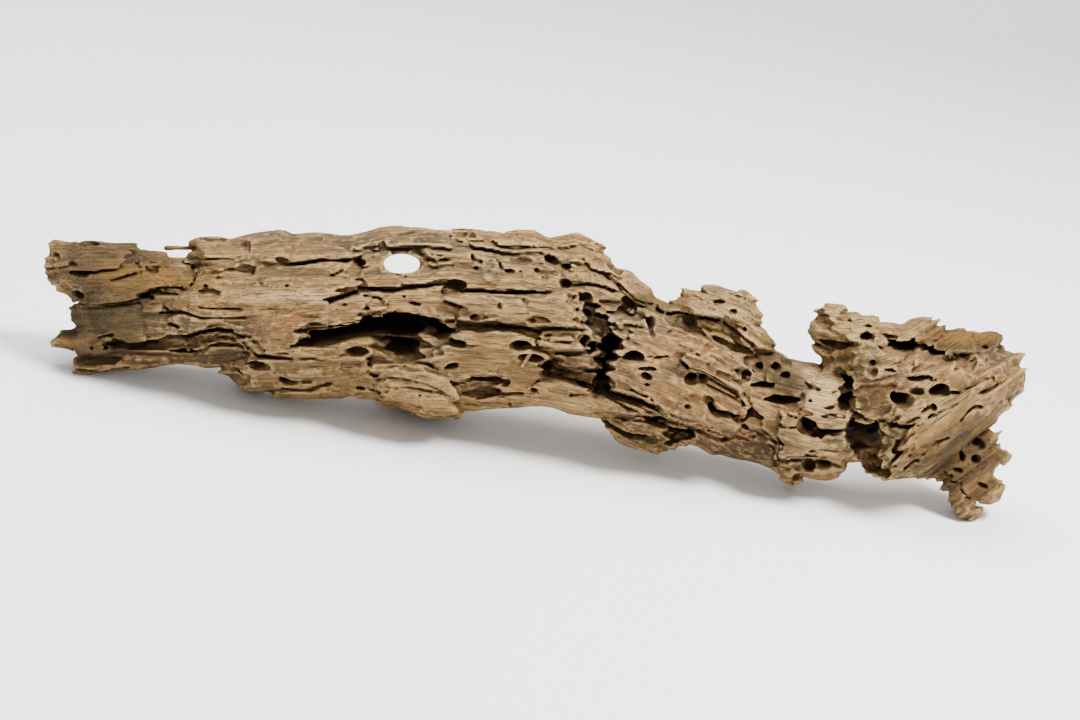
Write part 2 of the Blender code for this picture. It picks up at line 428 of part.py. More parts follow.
def terraces(seed, along, across, reach):
    """Torn growth layers: flat treads and steep risers, in millimetres either side of nothing."""
    swell = sum(
        share * noise(seed + number, along / length, across / width)
        for number, (share, length, width) in enumerate(SWELLS)
    )
    level = reach * swell / TERRACE_RISER
    tread = np.floor(level)
    rise = step((level - tread - 0.5) / RISER_STEEPNESS + 0.5)
    return TERRACE_RISER * (tread + TREAD_SLOPE * (level - tread) + (1 - TREAD_SLOPE) * rise)


def bundles(seed, along, across, size):
    """Levels from 0 to 1 of broken bundles of fibre, laid like uneven bricks."""
    length, width = size
    rng = np.random.default_rng(seed)
    levels = rng.random((ROWS, ROWS))
    starts = ROWS * rng.random(ROWS)
    row = np.floor(across / width).astype(int) % ROWS
    column = np.floor(along / length + starts[row]).astype(int) % ROWS
    return levels[column, row]


def undercut(face, x, y, seed):
    """A map of heights with grooves worn in under the edges that look down, deeper here and there."""
    low, high = UNDERCUT_EDGE
    above = np.roll(face, -1, axis=1) - face
    share = 0.65 + 0.35 * noise(seed, x / 14, y / 6)
    return face - UNDERCUT * share * step((above - low) / (high - low))


def smoothness(x, y):
    """How smooth wear has made the face, from 0 to 1."""
    smooth = np.zeros_like(x)
    for centre_x, centre_y, half_x, half_y in SMOOTH:
        away = np.hypot((x - centre_x) / half_x, (y - centre_y) / half_y)
        smooth = np.maximum(smooth, step((1.3 - away) / 0.6))
    return smooth


def face_relief(x, y):
    """How far the face stands out: plates that lie over one another, with torn layers on them."""
    torn_x, torn_y = ragged(x, y)
    across = across_fibres(torn_x, torn_y)
    face = np.zeros_like(x)
    for height, outline in PLATES:
        face = face + (height - face) * step(0.5 + inside(outline, torn_x, torn_y) / PLATE_EDGE)
    torn = terraces(34, torn_x, across, FACE_TERRACE)
    torn = torn - FACE_DROP * bundles(9, torn_x, across, FACE_BUNDLE)
    return undercut(face + (1 - SMOOTHED * smoothness(x, y)) * torn, x, y, 11)


def back_relief(x, y):
    """How far the back stands in, where bundles and layers are torn away."""
    torn_x, torn_y = ragged(x, y)
    across = across_fibres(torn_x, torn_y)
    torn = BUNDLE_DROP * bundles(6, torn_x, across, BUNDLE)
    torn = torn + terraces(37, torn_x, across, BACK_TERRACE) + TERRACE_RISER
    return -undercut(-torn, x, y, 13)


def at_station(values, x):
    """A depth between the stations along the branch."""
    return np.interp(x, STATION_X, values)


def rounded(depth_in, from_middle, half, round_off):
    """Distance outside a slab with rounded edges."""
    return np.hypot(
        np.maximum(round_off - depth_in, 0), np.maximum(from_middle - half + round_off, 0)
    ) - round_off


def branch(x, y, z):
    """The branch as a volume: negative inside the wood, positive outside, in millimetres."""
    flat_x, flat_y = x[:, :, 0] + 0 * y[:, :, 0], y[:, :, 0] + 0 * x[:, :, 0]
    calm_x, calm_y = ragged(flat_x, flat_y, CALM)
    half, middle = at_station(HALF_DEPTH, x), at_station(MID_DEPTH, x)

    # Torn bundles on top and underneath sink away from the middle of the depth
    torn_along, torn_z = x + 2 * noise(4, x / 30, z / 3), z + 2 * noise(5, x / 20, z / 9)
    level = BUNDLE_DROP * bundles(3, torn_along, torn_z, BUNDLE)
    level = level + np.maximum(terraces(31, torn_along, torn_z, SIDE_TERRACE) + TERRACE_RISER, 0)
    sunk = level * step((np.abs(z - middle) - EDGE_CORE) / EDGE_FADE)
    at_end = step((np.abs(x) - END_FROM) / END_FADE)
    sunk = sunk + END_TEETH * at_end * (0.5 + 0.5 * noise(10, y / 5, z / 6))
    depth_in = inside(OUTLINE, calm_x, calm_y)[:, :, None] - sunk

    lift = face_relief(flat_x, flat_y)[:, :, None] * step((z - middle + RELIEF_OVERLAP) / RELIEF_FADE)
    drop = back_relief(flat_x, flat_y)[:, :, None] * step((middle - z + RELIEF_OVERLAP) / RELIEF_FADE)
    body = rounded(depth_in, np.abs(z - lift - drop - middle), half, ROUNDING * half)
    leg_in = inside(LEG, calm_x, calm_y)[:, :, None]
    leg = rounded(leg_in, np.abs(z - LEG_MID_DEPTH), LEG_HALF_DEPTH, LEG_ROUNDING * LEG_HALF_DEPTH)
    from_stub = [(place - c) / h for place, c, h in zip((x, y, z), STUB_CENTRE, STUB_HALF)]
    stub = (np.sqrt(sum(part * part for part in from_stub)) - 1) * min(STUB_HALF)
    wave = WAVE * noise(8, x / 18, across_fibres(x, y) / 6, z / 6)
    return np.minimum(np.minimum(body, leg), stub) + wave


def skin_depth(field, z):
    """The z of the wood's skin, seen from the front, over each place of the layout."""
    solid = field < 0
    last = solid.shape[2] - 1 - np.argmax(solid[:, :, ::-1], axis=2)
    return np.where(solid.any(axis=2), z[0, 0, last], z[0, 0, 0])


def sink_hollows(field, places, skin):
    """Sink each hollow, its floor following the skin above it and its walls leaning upwards."""
    x, y, z = places
    torn_x, torn_y = ragged(x, y)
    sunk = skin[:, :, None] - z
    for depth, outline in HOLLOWS:
        along = [point[0] for point in outline]
        rows = slice(*np.searchsorted(x.ravel(), (min(along) - MARGIN, max(along) + MARGIN)))
        wall = inside(outline, torn_x[rows], torn_y[rows] - LEAN * np.clip(sunk[rows], 0, None))
        wall = wall + HOLLOW_FLARE * np.clip(sunk[rows], 0, FLARE_DEPTH)
        floor = depth * step(0.35 + wall / FLOOR_SLOPE) - sunk[rows]
        field[rows] = np.maximum(field[rows], np.minimum(wall, floor))
    return field


def bore(field, places, start, heading, side, long_half, short_half, depth):
    """Bore one gallery from a start on the skin, its mouth's long way turned to one side."""
    reach = max(depth, long_half) + MARGIN
    window = tuple(
        slice(*np.searchsorted(place.ravel(), (origin - reach, origin + reach)))
        for place, origin in zip(places, start)
    )
    nearby = (places[0][window[0]], places[1][:, window[1]], places[2][:, :, window[2]])
    rel = [place - origin for place, origin in zip(nearby, start)]
    sunk = sum(part * way for part, way in zip(rel, heading))
    long_way = (side - heading * side.dot(heading)).normalized()
    short_way = heading.cross(long_way)
    u = sum(part * way for part, way in zip(rel, long_way)) / long_half
    v = sum(part * way for part, way in zip(rel, short_way)) / short_half
    end = np.maximum(sunk - depth + short_half, 0) / short_half
    gallery = (np.sqrt(u * u + v * v + end * end) - 1) * short_half
    gallery = np.where(sunk < -MARGIN, MARGIN, gallery)
    field[window] = np.maximum(field[window], -gallery)


def bore_face(field, places, skin):
    """Bore the galleries that open on the face."""
    x, y, _ = places
    for centre_x, centre_y, long_half, short_half, turn, depth in GALLERIES:
        i = np.searchsorted(x.ravel(), centre_x)
        j = np.searchsorted(y.ravel(), centre_y)
        start = Vector((centre_x, centre_y, skin[i, j]))
        side = Vector((math.cos(math.radians(turn)), math.sin(math.radians(turn)), 0))
        heading = Vector((0, 0, -1))
        if depth < THROUGH:
            heading = Vector((LEAN_ASIDE * math.sin(centre_x), LEAN, -1)).normalized()
        bore(field, places, start, heading, side, long_half, short_half, depth)


def bore_other_sides(field, places):
    """Bore the galleries of the top, the back and the underside."""
    rng = np.random.default_rng(HIDDEN_SEED)
    for _ in range(HIDDEN_GALLERIES):
        along = rng.uniform(*HIDDEN_ALONG)
        angle = math.radians(rng.uniform(*HIDDEN_ROUND))
        out = Vector((0, math.sin(angle), math.cos(angle)))
        axis = Vector((along, 0.5 * sum(edge_heights(along)), float(at_station(MID_DEPTH, along))))
        start = skin_on_ray(field, places, axis, out)
        heading = (Vector((HIDDEN_LEAN * rng.uniform(-1, 1), 0, 0)) - out).normalized()
        short_half = rng.uniform(*HIDDEN_HALF_WIDTH)
        depth = rng.uniform(*HIDDEN_DEPTH)
        long_half = short_half * rng.uniform(*HIDDEN_STRETCH)
        bore(field, places, start, heading, Vector((1, 0, 0)), long_half, short_half, depth)


def edge_heights(along):
    """The outline's lowest and highest y at one x."""
    crossings = [
        ay + (by - ay) * (along - ax) / (bx - ax)
        for (ax, ay), (bx, by) in zip(OUTLINE, OUTLINE[1:] + OUTLINE[:1])
        if (ax <= along) != (bx <= along)
    ]
    return min(crossings), max(crossings)


def skin_on_ray(field, places, axis, out):
    """The outermost place in the wood on a ray from the branch's axis."""
    for reach in np.arange(BOX_Y[1], 0.0, -VOXEL):
        place = axis + out * reach
        index = [int(np.searchsorted(row.ravel(), value)) for row, value in zip(places, place)]
        if all(0 < i < n for i, n in zip(index, field.shape)) and field[tuple(index)] < 0:
            return place
    return axis


def largest_skin(points, quads):
    """Keep the one largest closed skin, so that loose scraps go and sealed voids fill."""
    label = np.arange(len(points))
    while True:
        lowest = label[quads].min(axis=1)
        joined = label.copy()
        for corner in range(4):
            np.minimum.at(joined, quads[:, corner], lowest)
        joined = joined[joined]
        if np.array_equal(joined, label):
            break
        label = joined
    keep = label == np.bincount(label).argmax()
    index = np.cumsum(keep) - 1
    return points[keep], index[quads[keep[quads[:, 0]]]]


def rest_frame():
    """Axes of the resting pose, seen from the layout: right, away from the viewer, and up."""
    roll, pitch = math.radians(ROLL), math.radians(PITCH)
    up = Vector((math.sin(roll) * math.cos(pitch), math.cos(roll) * math.cos(pitch), math.sin(pitch)))
    right = (Vector((1, 0, 0)) - up * up.x).normalized()
    return Matrix((right, up.cross(right), up))


def wood_skin():
    """Work out the volume and skin it, in the layout's millimetres."""
    x = np.arange(*BOX_X, VOXEL)[:, None, None]
    y = np.arange(*BOX_Y, VOXEL)[None, :, None]
    z = np.arange(*BOX_Z, VOXEL)[None, None, :]
    places = (x, y, z)
    field = branch(x, y, z)
    skin = skin_depth(field, z)
    field = sink_hollows(field, places, skin)
    bore_face(field, places, skin)
    bore_other_sides(field, places)
    grid = openvdb.FloatGrid(background=BAND)
    grid.copyFromArray(np.clip(field, -BAND, BAND).astype(np.float32))
    points, _, quads = grid.convertToPolygons(isovalue=0.0, adaptivity=0.0)
    return largest_skin(points * VOXEL + (BOX_X[0], BOX_Y[0], BOX_Z[0]), quads)


def wood_material():
    """Dry weathered wood."""
    material = bpy.data.materials.new("wood")
    material.use_nodes = True
    shader = material.node_tree.nodes["Principled BSDF"]
    shader.inputs["Base Color"].default_value = WOOD_COLOUR
    shader.inputs["Roughness"].default_value = WOOD_ROUGHNESS
    shader.inputs["Metallic"].default_value = 0.0
    return material


def build_wood():
    """Turn the skin to its resting pose and thin it."""
    points, quads = wood_skin()

    # The layout is drawn as seen from the viewing distance, so nearer wood is drawn larger than it is
    points[:, :2] *= 1 - points[:, 2:] / VIEW_DISTANCE
    points = (points @ np.array(rest_frame()).T + ORIGIN) * MM
    skin = bpy.data.meshes.new("honeycomb_wood_skin")
    skin.from_pydata(points.tolist(), [], quads.tolist())
    rough = bpy.data.objects.new("rough", skin)
    bpy.context.scene.collection.objects.link(rough)
    thin = rough.modifiers.new("thin", "DECIMATE")
    thin.ratio = TRIANGLES / (2 * len(quads))
    graph = bpy.context.evaluated_depsgraph_get()
    mesh = bpy.data.meshes.new_from_object(rough.evaluated_get(graph))
    bpy.data.objects.remove(rough)
    wood = bpy.data.objects.new("honeycomb_wood", mesh)
    bpy.context.scene.collection.objects.link(wood)
    wood.data.materials.append(wood_material())
    return wood


def trim_seats(wood):
    """Cut the lowest points off level, so that each is a small flat seat."""
    shape = bmesh.new()
    bmesh.ops.create_cube(shape, size=1.0)
    bmesh.ops.scale(shape, vec=FLOOR_CUTTER, verts=shape.verts)
    bmesh.ops.translate(shape, vec=(0, 0, -FLOOR_CUTTER[2] / 2), verts=shape.verts)
    slab = bpy.data.meshes.new("floor_cutter")
    shape.to_mesh(slab)
    shape.free()
    cutter = bpy.data.objects.new("floor_cutter", slab)
    cutter.hide_render = True
    cutter.display_type = "WIRE"
    bpy.context.scene.collection.objects.link(cutter)
    trim = wood.modifiers.new("seats", "BOOLEAN")
    trim.object = cutter
    trim.operation = "DIFFERENCE"
    trim.solver = "EXACT"


clear_scene()
trim_seats(build_wood())
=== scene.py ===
"""Honeycomb wood: a weathered, borer-eaten branch lying on a plain pale surface."""

import math

import bpy
import numpy as np
import openvdb
from mathutils import Matrix, Vector


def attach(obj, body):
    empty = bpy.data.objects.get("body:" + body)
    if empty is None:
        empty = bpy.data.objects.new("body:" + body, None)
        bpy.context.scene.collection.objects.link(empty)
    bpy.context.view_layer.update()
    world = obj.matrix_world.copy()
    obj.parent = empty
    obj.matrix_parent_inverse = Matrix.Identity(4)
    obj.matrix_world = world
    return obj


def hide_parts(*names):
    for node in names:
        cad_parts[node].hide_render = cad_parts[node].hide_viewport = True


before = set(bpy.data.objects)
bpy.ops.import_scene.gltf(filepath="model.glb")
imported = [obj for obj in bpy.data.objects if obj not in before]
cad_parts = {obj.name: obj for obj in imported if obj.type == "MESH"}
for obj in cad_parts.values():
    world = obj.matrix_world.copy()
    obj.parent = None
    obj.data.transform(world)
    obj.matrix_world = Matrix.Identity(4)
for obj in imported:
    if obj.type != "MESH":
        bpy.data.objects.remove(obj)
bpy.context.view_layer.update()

# The branch. One grown piece of hardwood, dead and dry, eaten by borers and then worn by water, so
# that the soft wood between the fibre bundles is gone. It is worked out as one volume, laid out in
# millimetres as its face is seen, x right, y up and z towards the viewer, and skinned from that.

OUTLINE = [
    (-249.5, 52), (-247.5, 56), (-244, 60.5), (-235, 59.5), (-202, 58.5), (-199.5, 55),
    (-186.5, 54.5), (-185, 51.5), (-176, 51.5), (-174, 55), (-175, 59), (-171.5, 61),
    (-161.5, 61), (-154.5, 60), (-142.5, 63), (-131.5, 64.5), (-123.5, 62.5), (-116, 63.5),
    (-100, 62.5), (-87.5, 64), (-81, 66), (-70, 66.5), (-55, 66.5), (-40, 65.5), (-20, 64),
    (-11, 65), (-3, 64.5), (3.5, 61), (11, 62), (18.5, 64), (24, 62), (32, 57.5), (33.5, 53),
    (36.5, 49.5), (39, 45), (46, 44), (51, 39), (56, 35.5), (58.5, 31.5), (64, 28.5),
    (68.5, 30), (70.5, 32), (69, 34), (72, 35.5), (80, 35), (81, 37), (85, 37.5), (92, 35.5),
    (98, 34.5), (104, 35), (108.5, 32), (109, 28), (111.5, 24), (111.5, 19), (108.5, 17),
    (112.5, 14.5), (117.5, 9), (117, 5), (125, 1),
    (135, -1), (141, -3), (140.5, 0), (137.5, 4), (136, 7.5), (144.5, 6), (136, 10.5),
    (134.5, 14), (134.5, 16.5), (136.5, 18.5),
    (138.5, 22), (137.5, 24.5), (140.5, 25.5), (143, 28), (152.5, 27.5), (154, 23.5),
    (160, 24), (166, 22), (170, 19.5), (180, 19), (187.5, 21), (193.5, 21.5), (198, 19.5),
    (202.5, 16.5), (202.5, 14.5), (209, 16), (215, 15.5), (217.5, 13), (224, 14.5),
    (229, 14), (232.5, 12), (230.5, 8), (236, 5), (244, 2.5), (240, -2.5), (243.5, -6),
    (244, -11), (241.5, -16), (238.5, -20), (236.5, -24), (231.5, -27.5), (229, -31),
    (225.5, -34), (217.5, -40), (207.5, -49), (195, -58.5), (182.5, -59), (177.5, -60),
    (172.5, -60.5), (167, -58), (163.5, -55), (161.5, -50.5), (156, -50.5), (153.5, -50),
    (153, -55), (149, -58.5), (142.5, -60), (136, -59.5), (131.5, -58), (130, -62),
    (127.5, -63.5), (122.5, -61.5), (119, -57.5), (115, -54), (107.5, -51), (100, -49.5),
    (91, -46), (86, -46.5), (80, -43.5), (75, -42), (69, -42.5), (65, -45), (58.5, -47),
    (50, -45), (43, -42.5), (37.5, -41), (35, -36.5), (32.5, -31.5), (31.5, -28.5),
    (22.5, -28), (15, -27), (9, -25), (2.5, -24), (-10, -24), (-25, -24.5), (-38.5, -25.5),
    (-39.5, -29), (-47.5, -29.5), (-55, -29), (-65, -26.5), (-72.5, -23.5), (-82, -22),
    (-82.5, -19.5), (-100, -19), (-134, -19), (-132.5, -16), (-147.5, -15.5), (-151, -13),
    (-154.5, -8.5), (-159, -5), (-158.5, -2), (-167.5, -3), (-181.5, -2), (-195, -2.5),
    (-210, -4.5), (-225, -7), (-232.5, -6.5), (-233.5, -1), (-232, 3), (-237, 4.5),
    (-245, 5.5), (-246, 9), (-244, 12.5), (-240, 15.5), (-234, 15.5), (-234, 18), (-237, 24),
    (-238, 27), (-236.5, 30), (-242.5, 32), (-246, 36), (-247, 42), (-248, 45), (-249.5, 49),
]

# The depth of the branch from front to back at stations along it, and how round its edges are
STATION_X = [-250, -235, -200, -150, -100, 0, 30, 60, 100, 130, 150, 180, 215, 244]
HALF_DEPTH = [15, 23, 29, 35, 39, 39, 36, 34, 30, 24, 24, 31, 29, 12]
MID_DEPTH = [-10, -12, -12, -12, -10, -10, -10, -11, -10, -8, -8, -8, -8, -6]
ROUNDING = 0.86

# The leg under the right end, which stands behind the front plate
LEG = [
    (225, -35), (229.5, -36.5), (227.5, -39), (228, -42.5), (231.5, -45), (235, -47.5),
    (234, -51), (231.5, -53.5), (229, -52), (226.5, -55), (230, -61), (233, -61),
    (231.5, -65), (230, -68.5), (229.5, -71), (225, -72), (217.5, -71), (221, -75),
    (220.5, -78), (214.5, -80.5), (211, -79.5), (207.5, -76.5), (205, -71.5), (203, -66.5),
    (200, -62), (194, -59), (197, -50), (208, -38),
]
LEG_HALF_DEPTH = 12.0
LEG_MID_DEPTH = -14.0
LEG_ROUNDING = 0.8

# The stub of a side branch low on the back, on which the wood also rests
STUB_CENTRE = (-58.0, -8.0, -38.0)
STUB_HALF = (21.0, 19.0, 14.0)

# Fibre direction: the height of one fibre line at stations along x
FIBRE_X = [-300, -60, 0, 30, 60, 110, 150, 180, 245, 300]
FIBRE_Y = [-8, 0, -4, -10, -20, -45, -55, -48, -3, 34]
FIBRE_BLEND = 31

# Plates of the face, in the order they lie over each other (level, outline), hollows that sink into
# it (depth, outline), cracks along it (half width, depth, line), and galleries that open on it (x, y,
# half length, half width, turn in degrees, depth)
PLATES = [
    (-5, [(-157.5, 67.5), (-94, 67.5), (-92, 62), (-105, 59.5), (-120, 60), (-139, 61), (-154, 60)]),
    (3, [(-250, 62), (-201, 60), (-198.5, 55.5), (-186, 55), (-181, 50.5), (-175, 48.5), (-172, 45),
         (-171.5, 40), (-174, 36), (-181, 35.5), (-190, 35.5), (-196, 34.5), (-199, 32),
         (-195, 30.5), (-200, 29.5), (-210, 28.5), (-225, 27.5), (-238, 28), (-245, 35), (-250, 49)]),
    (4, [(-172, 62), (-140, 60), (-105, 57.5), (-94, 57), (-70, 62.5), (-46, 64), (-44, 55),
         (-60, 57), (-76, 56), (-90, 54), (-102.5, 49), (-114, 49), (-125, 48), (-139, 49),
         (-150, 49), (-162.5, 51), (-171.5, 52)]),
    (3, [(-171.5, 51.5), (-150, 49), (-139, 49), (-125, 48), (-102.5, 49), (-94, 48), (-105, 41.5),
         (-157.5, 41), (-165, 39.5), (-171.5, 38)]),
    (6, [(-94, 49), (-77, 49), (-72, 44), (-57.5, 44), (-50, 46), (-35, 47), (-20, 43), (10, 44),
         (12.5, 35), (-2, 34.5), (-37, 34.5), (-47.5, 38), (-60, 37), (-70, 36.5), (-89, 36.5),
         (-91, 40.5), (-102.5, 41.5)]),
    (4, [(-57.5, 56), (-44, 55), (-20, 54), (-2, 53), (4, 49), (10, 44), (-20, 43), (-35, 47),
         (-50, 46), (-57.5, 49)]),
    (2, [(-44, 67), (-20, 66), (-5, 66), (10, 62), (20, 65), (33, 60), (32, 52), (23, 51), (15, 52),
         (-2, 55), (-35, 58.5), (-44, 60)]),
    (5, [(-35, 58.5), (-20, 56.5), (-2, 55), (16, 53), (23, 49), (14, 47), (4, 51), (-2, 53),
         (-20, 54.5), (-35, 55.5)]),
    (8, [(-190, 25), (-189.5, 27.5), (-186, 29.5), (-181, 32), (-175, 35), (-170.5, 38), (-163, 40),
         (-150, 41), (-127.5, 41.5), (-105, 41.5), (-95, 40.5), (-89, 39), (-90, 35), (-94, 33),
         (-106, 29.5), (-106.5, 27.5), (-90, 31.5), (-78, 30.5), (-76, 27), (-70, 28), (-47.5, 26),
         (-44, 22), (-46, 19), (-57.5, 22), (-63.5, 23), (-70, 23.5), (-75, 22.5), (-84, 20.5),
         (-97.5, 17.5), (-107.5, 16.5), (-115, 16), (-117, 14), (-112, 12), (-118, 9.5),
         (-120, 7.5), (-115, 5), (-111, 2), (-112.5, -1), (-130, 1.5), (-139, 3), (-144, 4.5),
         (-148, 7), (-150, 9.5), (-147, 12), (-149.5, 14.5), (-154, 15.5), (-164, 16), (-170, 14.5),
         (-175, 13), (-180.5, 14.5), (-182, 17.5), (-185, 19.5), (-183.5, 23)]),
    (5, [(-89, 36), (-70, 35.5), (-60, 36.5), (-47.5, 37.5), (-47, 31), (-44, 30), (-40.5, 24),
         (-40.5, 20), (-46, 19), (-50, 20.5), (-57.5, 22), (-70, 24.5), (-77, 23), (-78, 30),
         (-89, 32)]),
    (4.5, [(-160.5, -1), (-159, -3), (-152, -6.5), (-147, -11), (-150, -14.5), (-139, -15.5),
           (-125, -14.5), (-114, -13.5), (-105, -11.5), (-84, -10), (-85, 0), (-97.5, 1.5),
           (-111, 1.5), (-130, 2), (-139, 1), (-146, 0), (-152.5, -1)]),
    (2, [(-134, -14), (-120, -15.5), (-105, -13), (-84, -13), (-81, -18), (-90, -20.5), (-134, -20)]),
    (7, [(-119, 7), (-107.5, 5.5), (-100, 8), (-92, 10.5), (-86, 10), (-83.5, 5), (-87, -1),
         (-97.5, -1), (-111, 1), (-116, 4)]),
    (0, [(-237, 26.5), (-205, 28.5), (-190, 29.5), (-184, 23.5), (-185, 19.5), (-181, 14.5),
         (-177, 12), (-190, 9), (-205, 7), (-217, 4), (-238, 4), (-234, 18)]),
    (1.5, [(-200, 30), (-189, 30), (-190, 24), (-199, 23.5)]),
    (2, [(-246, 9), (-244, 13.5), (-240, 16), (-232, 14.5), (-222, 13.5), (-214, 12), (-218, 7.5),
         (-214, 4), (-238, 4), (-245, 5)]),
    (-5, [(-234, 4), (-210, 5), (-167, 5), (-167, -1), (-205, -4), (-231, -4)]),
    (-7, [(-167, 7), (-159, 9), (-152, 7.5), (-145, 5.5), (-141.5, 3.5), (-146, 1), (-155, -0.5),
          (-167.5, -2), (-175, 2)]),
    (4, [(-42.5, 15), (-17.5, 14.5), (-5, 12), (2.5, 5), (3, -3), (0, -9), (10, -10.5), (25, -15),
         (10, -26), (-20, -25), (-39, -24), (-20, -16), (-19, -8), (-35, -8), (-42.5, -11),
         (-55, -3), (-60, -1), (-53, 5), (-44, 10)]),
    (0, [(-45, 19.5), (-20, 19), (-5, 16.5), (2.5, 14), (-5, 11.5), (-17.5, 14.5), (-42.5, 15),
         (-45, 17)]),
    (10, [(-46.5, 31.5), (-42.5, 32.5), (-37, 33.5), (-2, 33.5), (14, 36), (18, 33), (16, 29),
          (20, 27), (19, 22), (22, 20), (20.5, 16), (10, 15.5), (0, 15), (-4, 16), (-17.5, 17.5),
          (-20, 19.5), (-30, 19), (-39.5, 19.5), (-40.5, 23.5), (-42.5, 27.5)]),
    (7.5, [(0, 14.5), (10, 15), (19, 15.5), (21.5, 13), (20, 10), (22.5, 7), (19, 5.5), (10, 5),
           (2.5, 6), (-2, 10)]),
    (10, [(-86, -4), (-84, -6), (-81, -6.5), (-82, -12), (-80, -15), (-78.5, -18), (-82, -20.5),
          (-81, -23), (-74, -25.5), (-67.5, -27), (-60, -29), (-50, -30), (-42, -31), (-38, -29.5),
          (-39.5, -24), (-38, -19), (-42.5, -12), (-47, -7), (-57.5, -3), (-70, -1.5), (-80, -1.5)]),
    (8, [(0.5, -9.5), (8, -10), (17.5, -12), (26, -14.5), (24, -16), (32.5, -18), (40, -23),
         (43, -26), (36, -28.5), (30, -28.5), (22.5, -29), (15, -27.5), (9, -25.5), (0, -24.5),
         (-8, -24), (-5, -18)]),
    (-11, [(22.5, 30), (31, 27.5), (36, 21), (36, 14), (38, 9), (38.5, 4), (37, -2), (36, -8),
           (34.5, -16), (28, -15.5), (17.5, -13.5), (7.5, -9.5), (0, -7), (3.5, -3), (3, 4),
           (11, 4.5), (23, 5.5), (27, 9.5), (24, 15), (23, 22)]),
    (-6, [(4, 3.5), (17.5, 3), (28, 5), (30, -3), (20, -6), (9, -4)]),
    (-20, [(32, 12), (36.5, 13.5), (38.5, 8), (38.5, 3), (37, -3), (31.5, -3), (29, 4)]),
    (7, [(23, 51.5), (29, 53), (35, 50.5), (39, 46), (42, 40), (37, 42), (32, 45), (25, 46.5)]),
    (4, [(10, 46), (24, 46), (31, 43.5), (37, 39), (40, 34.5), (33, 37), (25, 38.5), (16, 38),
         (11, 40)]),
    (1, [(16, 37.5), (26, 37.5), (33, 35), (38, 31.5), (30, 29.5), (21, 31.5), (15, 33.5)]),
    (-3, [(30, 29.5), (39, 29.5), (47, 24), (46, 21), (34, 22), (28, 24)]),
    (6, [(41, 46), (50, 44), (56, 38), (62, 30), (60, 26), (54, 26), (47, 29), (42, 34), (39, 40)]),
    (4, [(48, 25.5), (56, 26), (62, 21), (66, 15), (55, 14.5), (37, 15.5), (42, 20), (52.5, 20)]),
    (9, [(36, 14.5), (50, 15.5), (60, 14.5), (75, 14), (83, 11), (90, 6), (102.5, 2), (104, -19),
         (106, -25), (102, -30), (99, -35), (91, -38), (82.5, -35), (75, -32), (66, -29), (60, -25),
         (55, -22), (50, -19.5), (42.5, -17.5), (35.5, -15.5), (36.5, -11), (35, -7), (37.5, -2),
         (36, 2), (39, 5), (36.5, 8), (38, 11)]),
    (14, [(71.5, 1.5), (76, 4), (86, 5), (94, 5), (100, 2), (101.5, -3), (97.5, -6), (100, -12),
          (104, -18.5), (106, -24), (102.5, -22), (98, -16), (90, -11), (82, -6.5), (75, -5.5),
          (73, -2.5)]),
    (-14, [(67, 35), (72, 37), (80, 40), (115, 38), (115, 14), (106, 16), (99, 21), (90, 26.5),
           (80, 30), (69, 30)]),
    (14, [(60, 28.5), (70, 30), (81, 29), (91, 25.5), (100, 20.5), (108, 15.5), (120, 13), (120, 4),
          (114, 3), (108.5, 5), (104, 9), (97.5, 15.5), (91, 20), (80, 22), (72, 24), (62, 24)]),
    (1, [(64, 23.5), (80, 21.5), (91, 19), (97.5, 14.5), (104, 8), (108.5, 4), (114, 2), (102.5, 2),
         (90, 6.5), (83, 11.5), (75, 14.5), (64, 15)]),
    (3, [(83, 21), (91, 19.5), (92, 13.5), (86, 15), (82, 18)]),
    (2, [(35.5, -16.5), (50, -20.5), (60, -26), (67, -30), (60, -30), (50, -25.5), (40, -22)]),
    (-6, [(75, -33.5), (91, -38.5), (100, -36), (112.5, -35), (120, -42.5), (115, -52.5),
          (100, -51), (80, -45), (70, -42)]),
    (-14, [(28, -26), (42.5, -26), (60, -27), (75, -35), (75, -48), (50, -48), (30, -35)]),
    (-9, [(33, -29), (50, -29), (62, -33), (61, -40), (50, -39), (36, -33)]),
    (-6, [(114, 4), (125, 4), (141, -2), (139, -9), (131.5, -17), (128.5, -22.5), (110, -22),
          (102, -19), (101, -10), (102, 1)]),
    (2, [(106, -19), (117.5, -22), (128.5, -24), (126, -29), (121, -30), (120, -40), (113, -35),
         (108, -26)]),
    (12, [(141, -3), (139, -10), (132, -17), (129, -22), (126, -28.5), (130, -30), (142, -36),
          (153, -35.5), (159, -29.5), (154, -26), (149.5, -23), (151, -18), (148, -14), (153, -10),
          (150, -6), (145, -4)]),
    (9, [(122, -26), (120, -35), (120, -43), (115, -49), (118, -51.5), (125, -49.5), (145, -50),
         (155, -55), (154.5, -51), (155, -45), (156.5, -40), (154.5, -35.5), (142.5, -37),
         (130, -30), (126, -29)]),
    (5, [(116, -52), (125, -50.5), (136, -56), (133, -64), (118, -62)]),
    (7, [(133, -55), (145, -53), (155, -54), (155, -62), (133, -62)]),
    (5, [(155, 27), (205, 19), (232, 16), (246, 3), (236, -7), (222.5, -14), (210, -21),
         (197.5, -27), (182.5, -30), (176.5, -32), (159, -20), (153, -10), (143, -3), (148, 5),
         (155, 7.5)]),
    (9, [(170, 19), (186, 21), (195, 22), (202.5, 16), (200, 10), (191, 7.5), (180, 11), (172, 14)]),
    (8, [(206, 16), (216, 17), (232.5, 15), (230, 7.5), (217.5, 6), (209, 9)]),
    (2, [(207.5, 4), (222.5, 4), (230, -1), (217.5, -8), (206, -3)]),
    (7, [(157.5, 5), (170, 4), (180, -2), (178, -8), (163, -10), (155, -3)]),
    (3, [(159, -12), (180, -12), (176, -26), (169, -30), (159, -27), (155, -20)]),
    (8, [(179, -24), (191, -19), (197.5, -26), (192.5, -32), (180, -32)]),
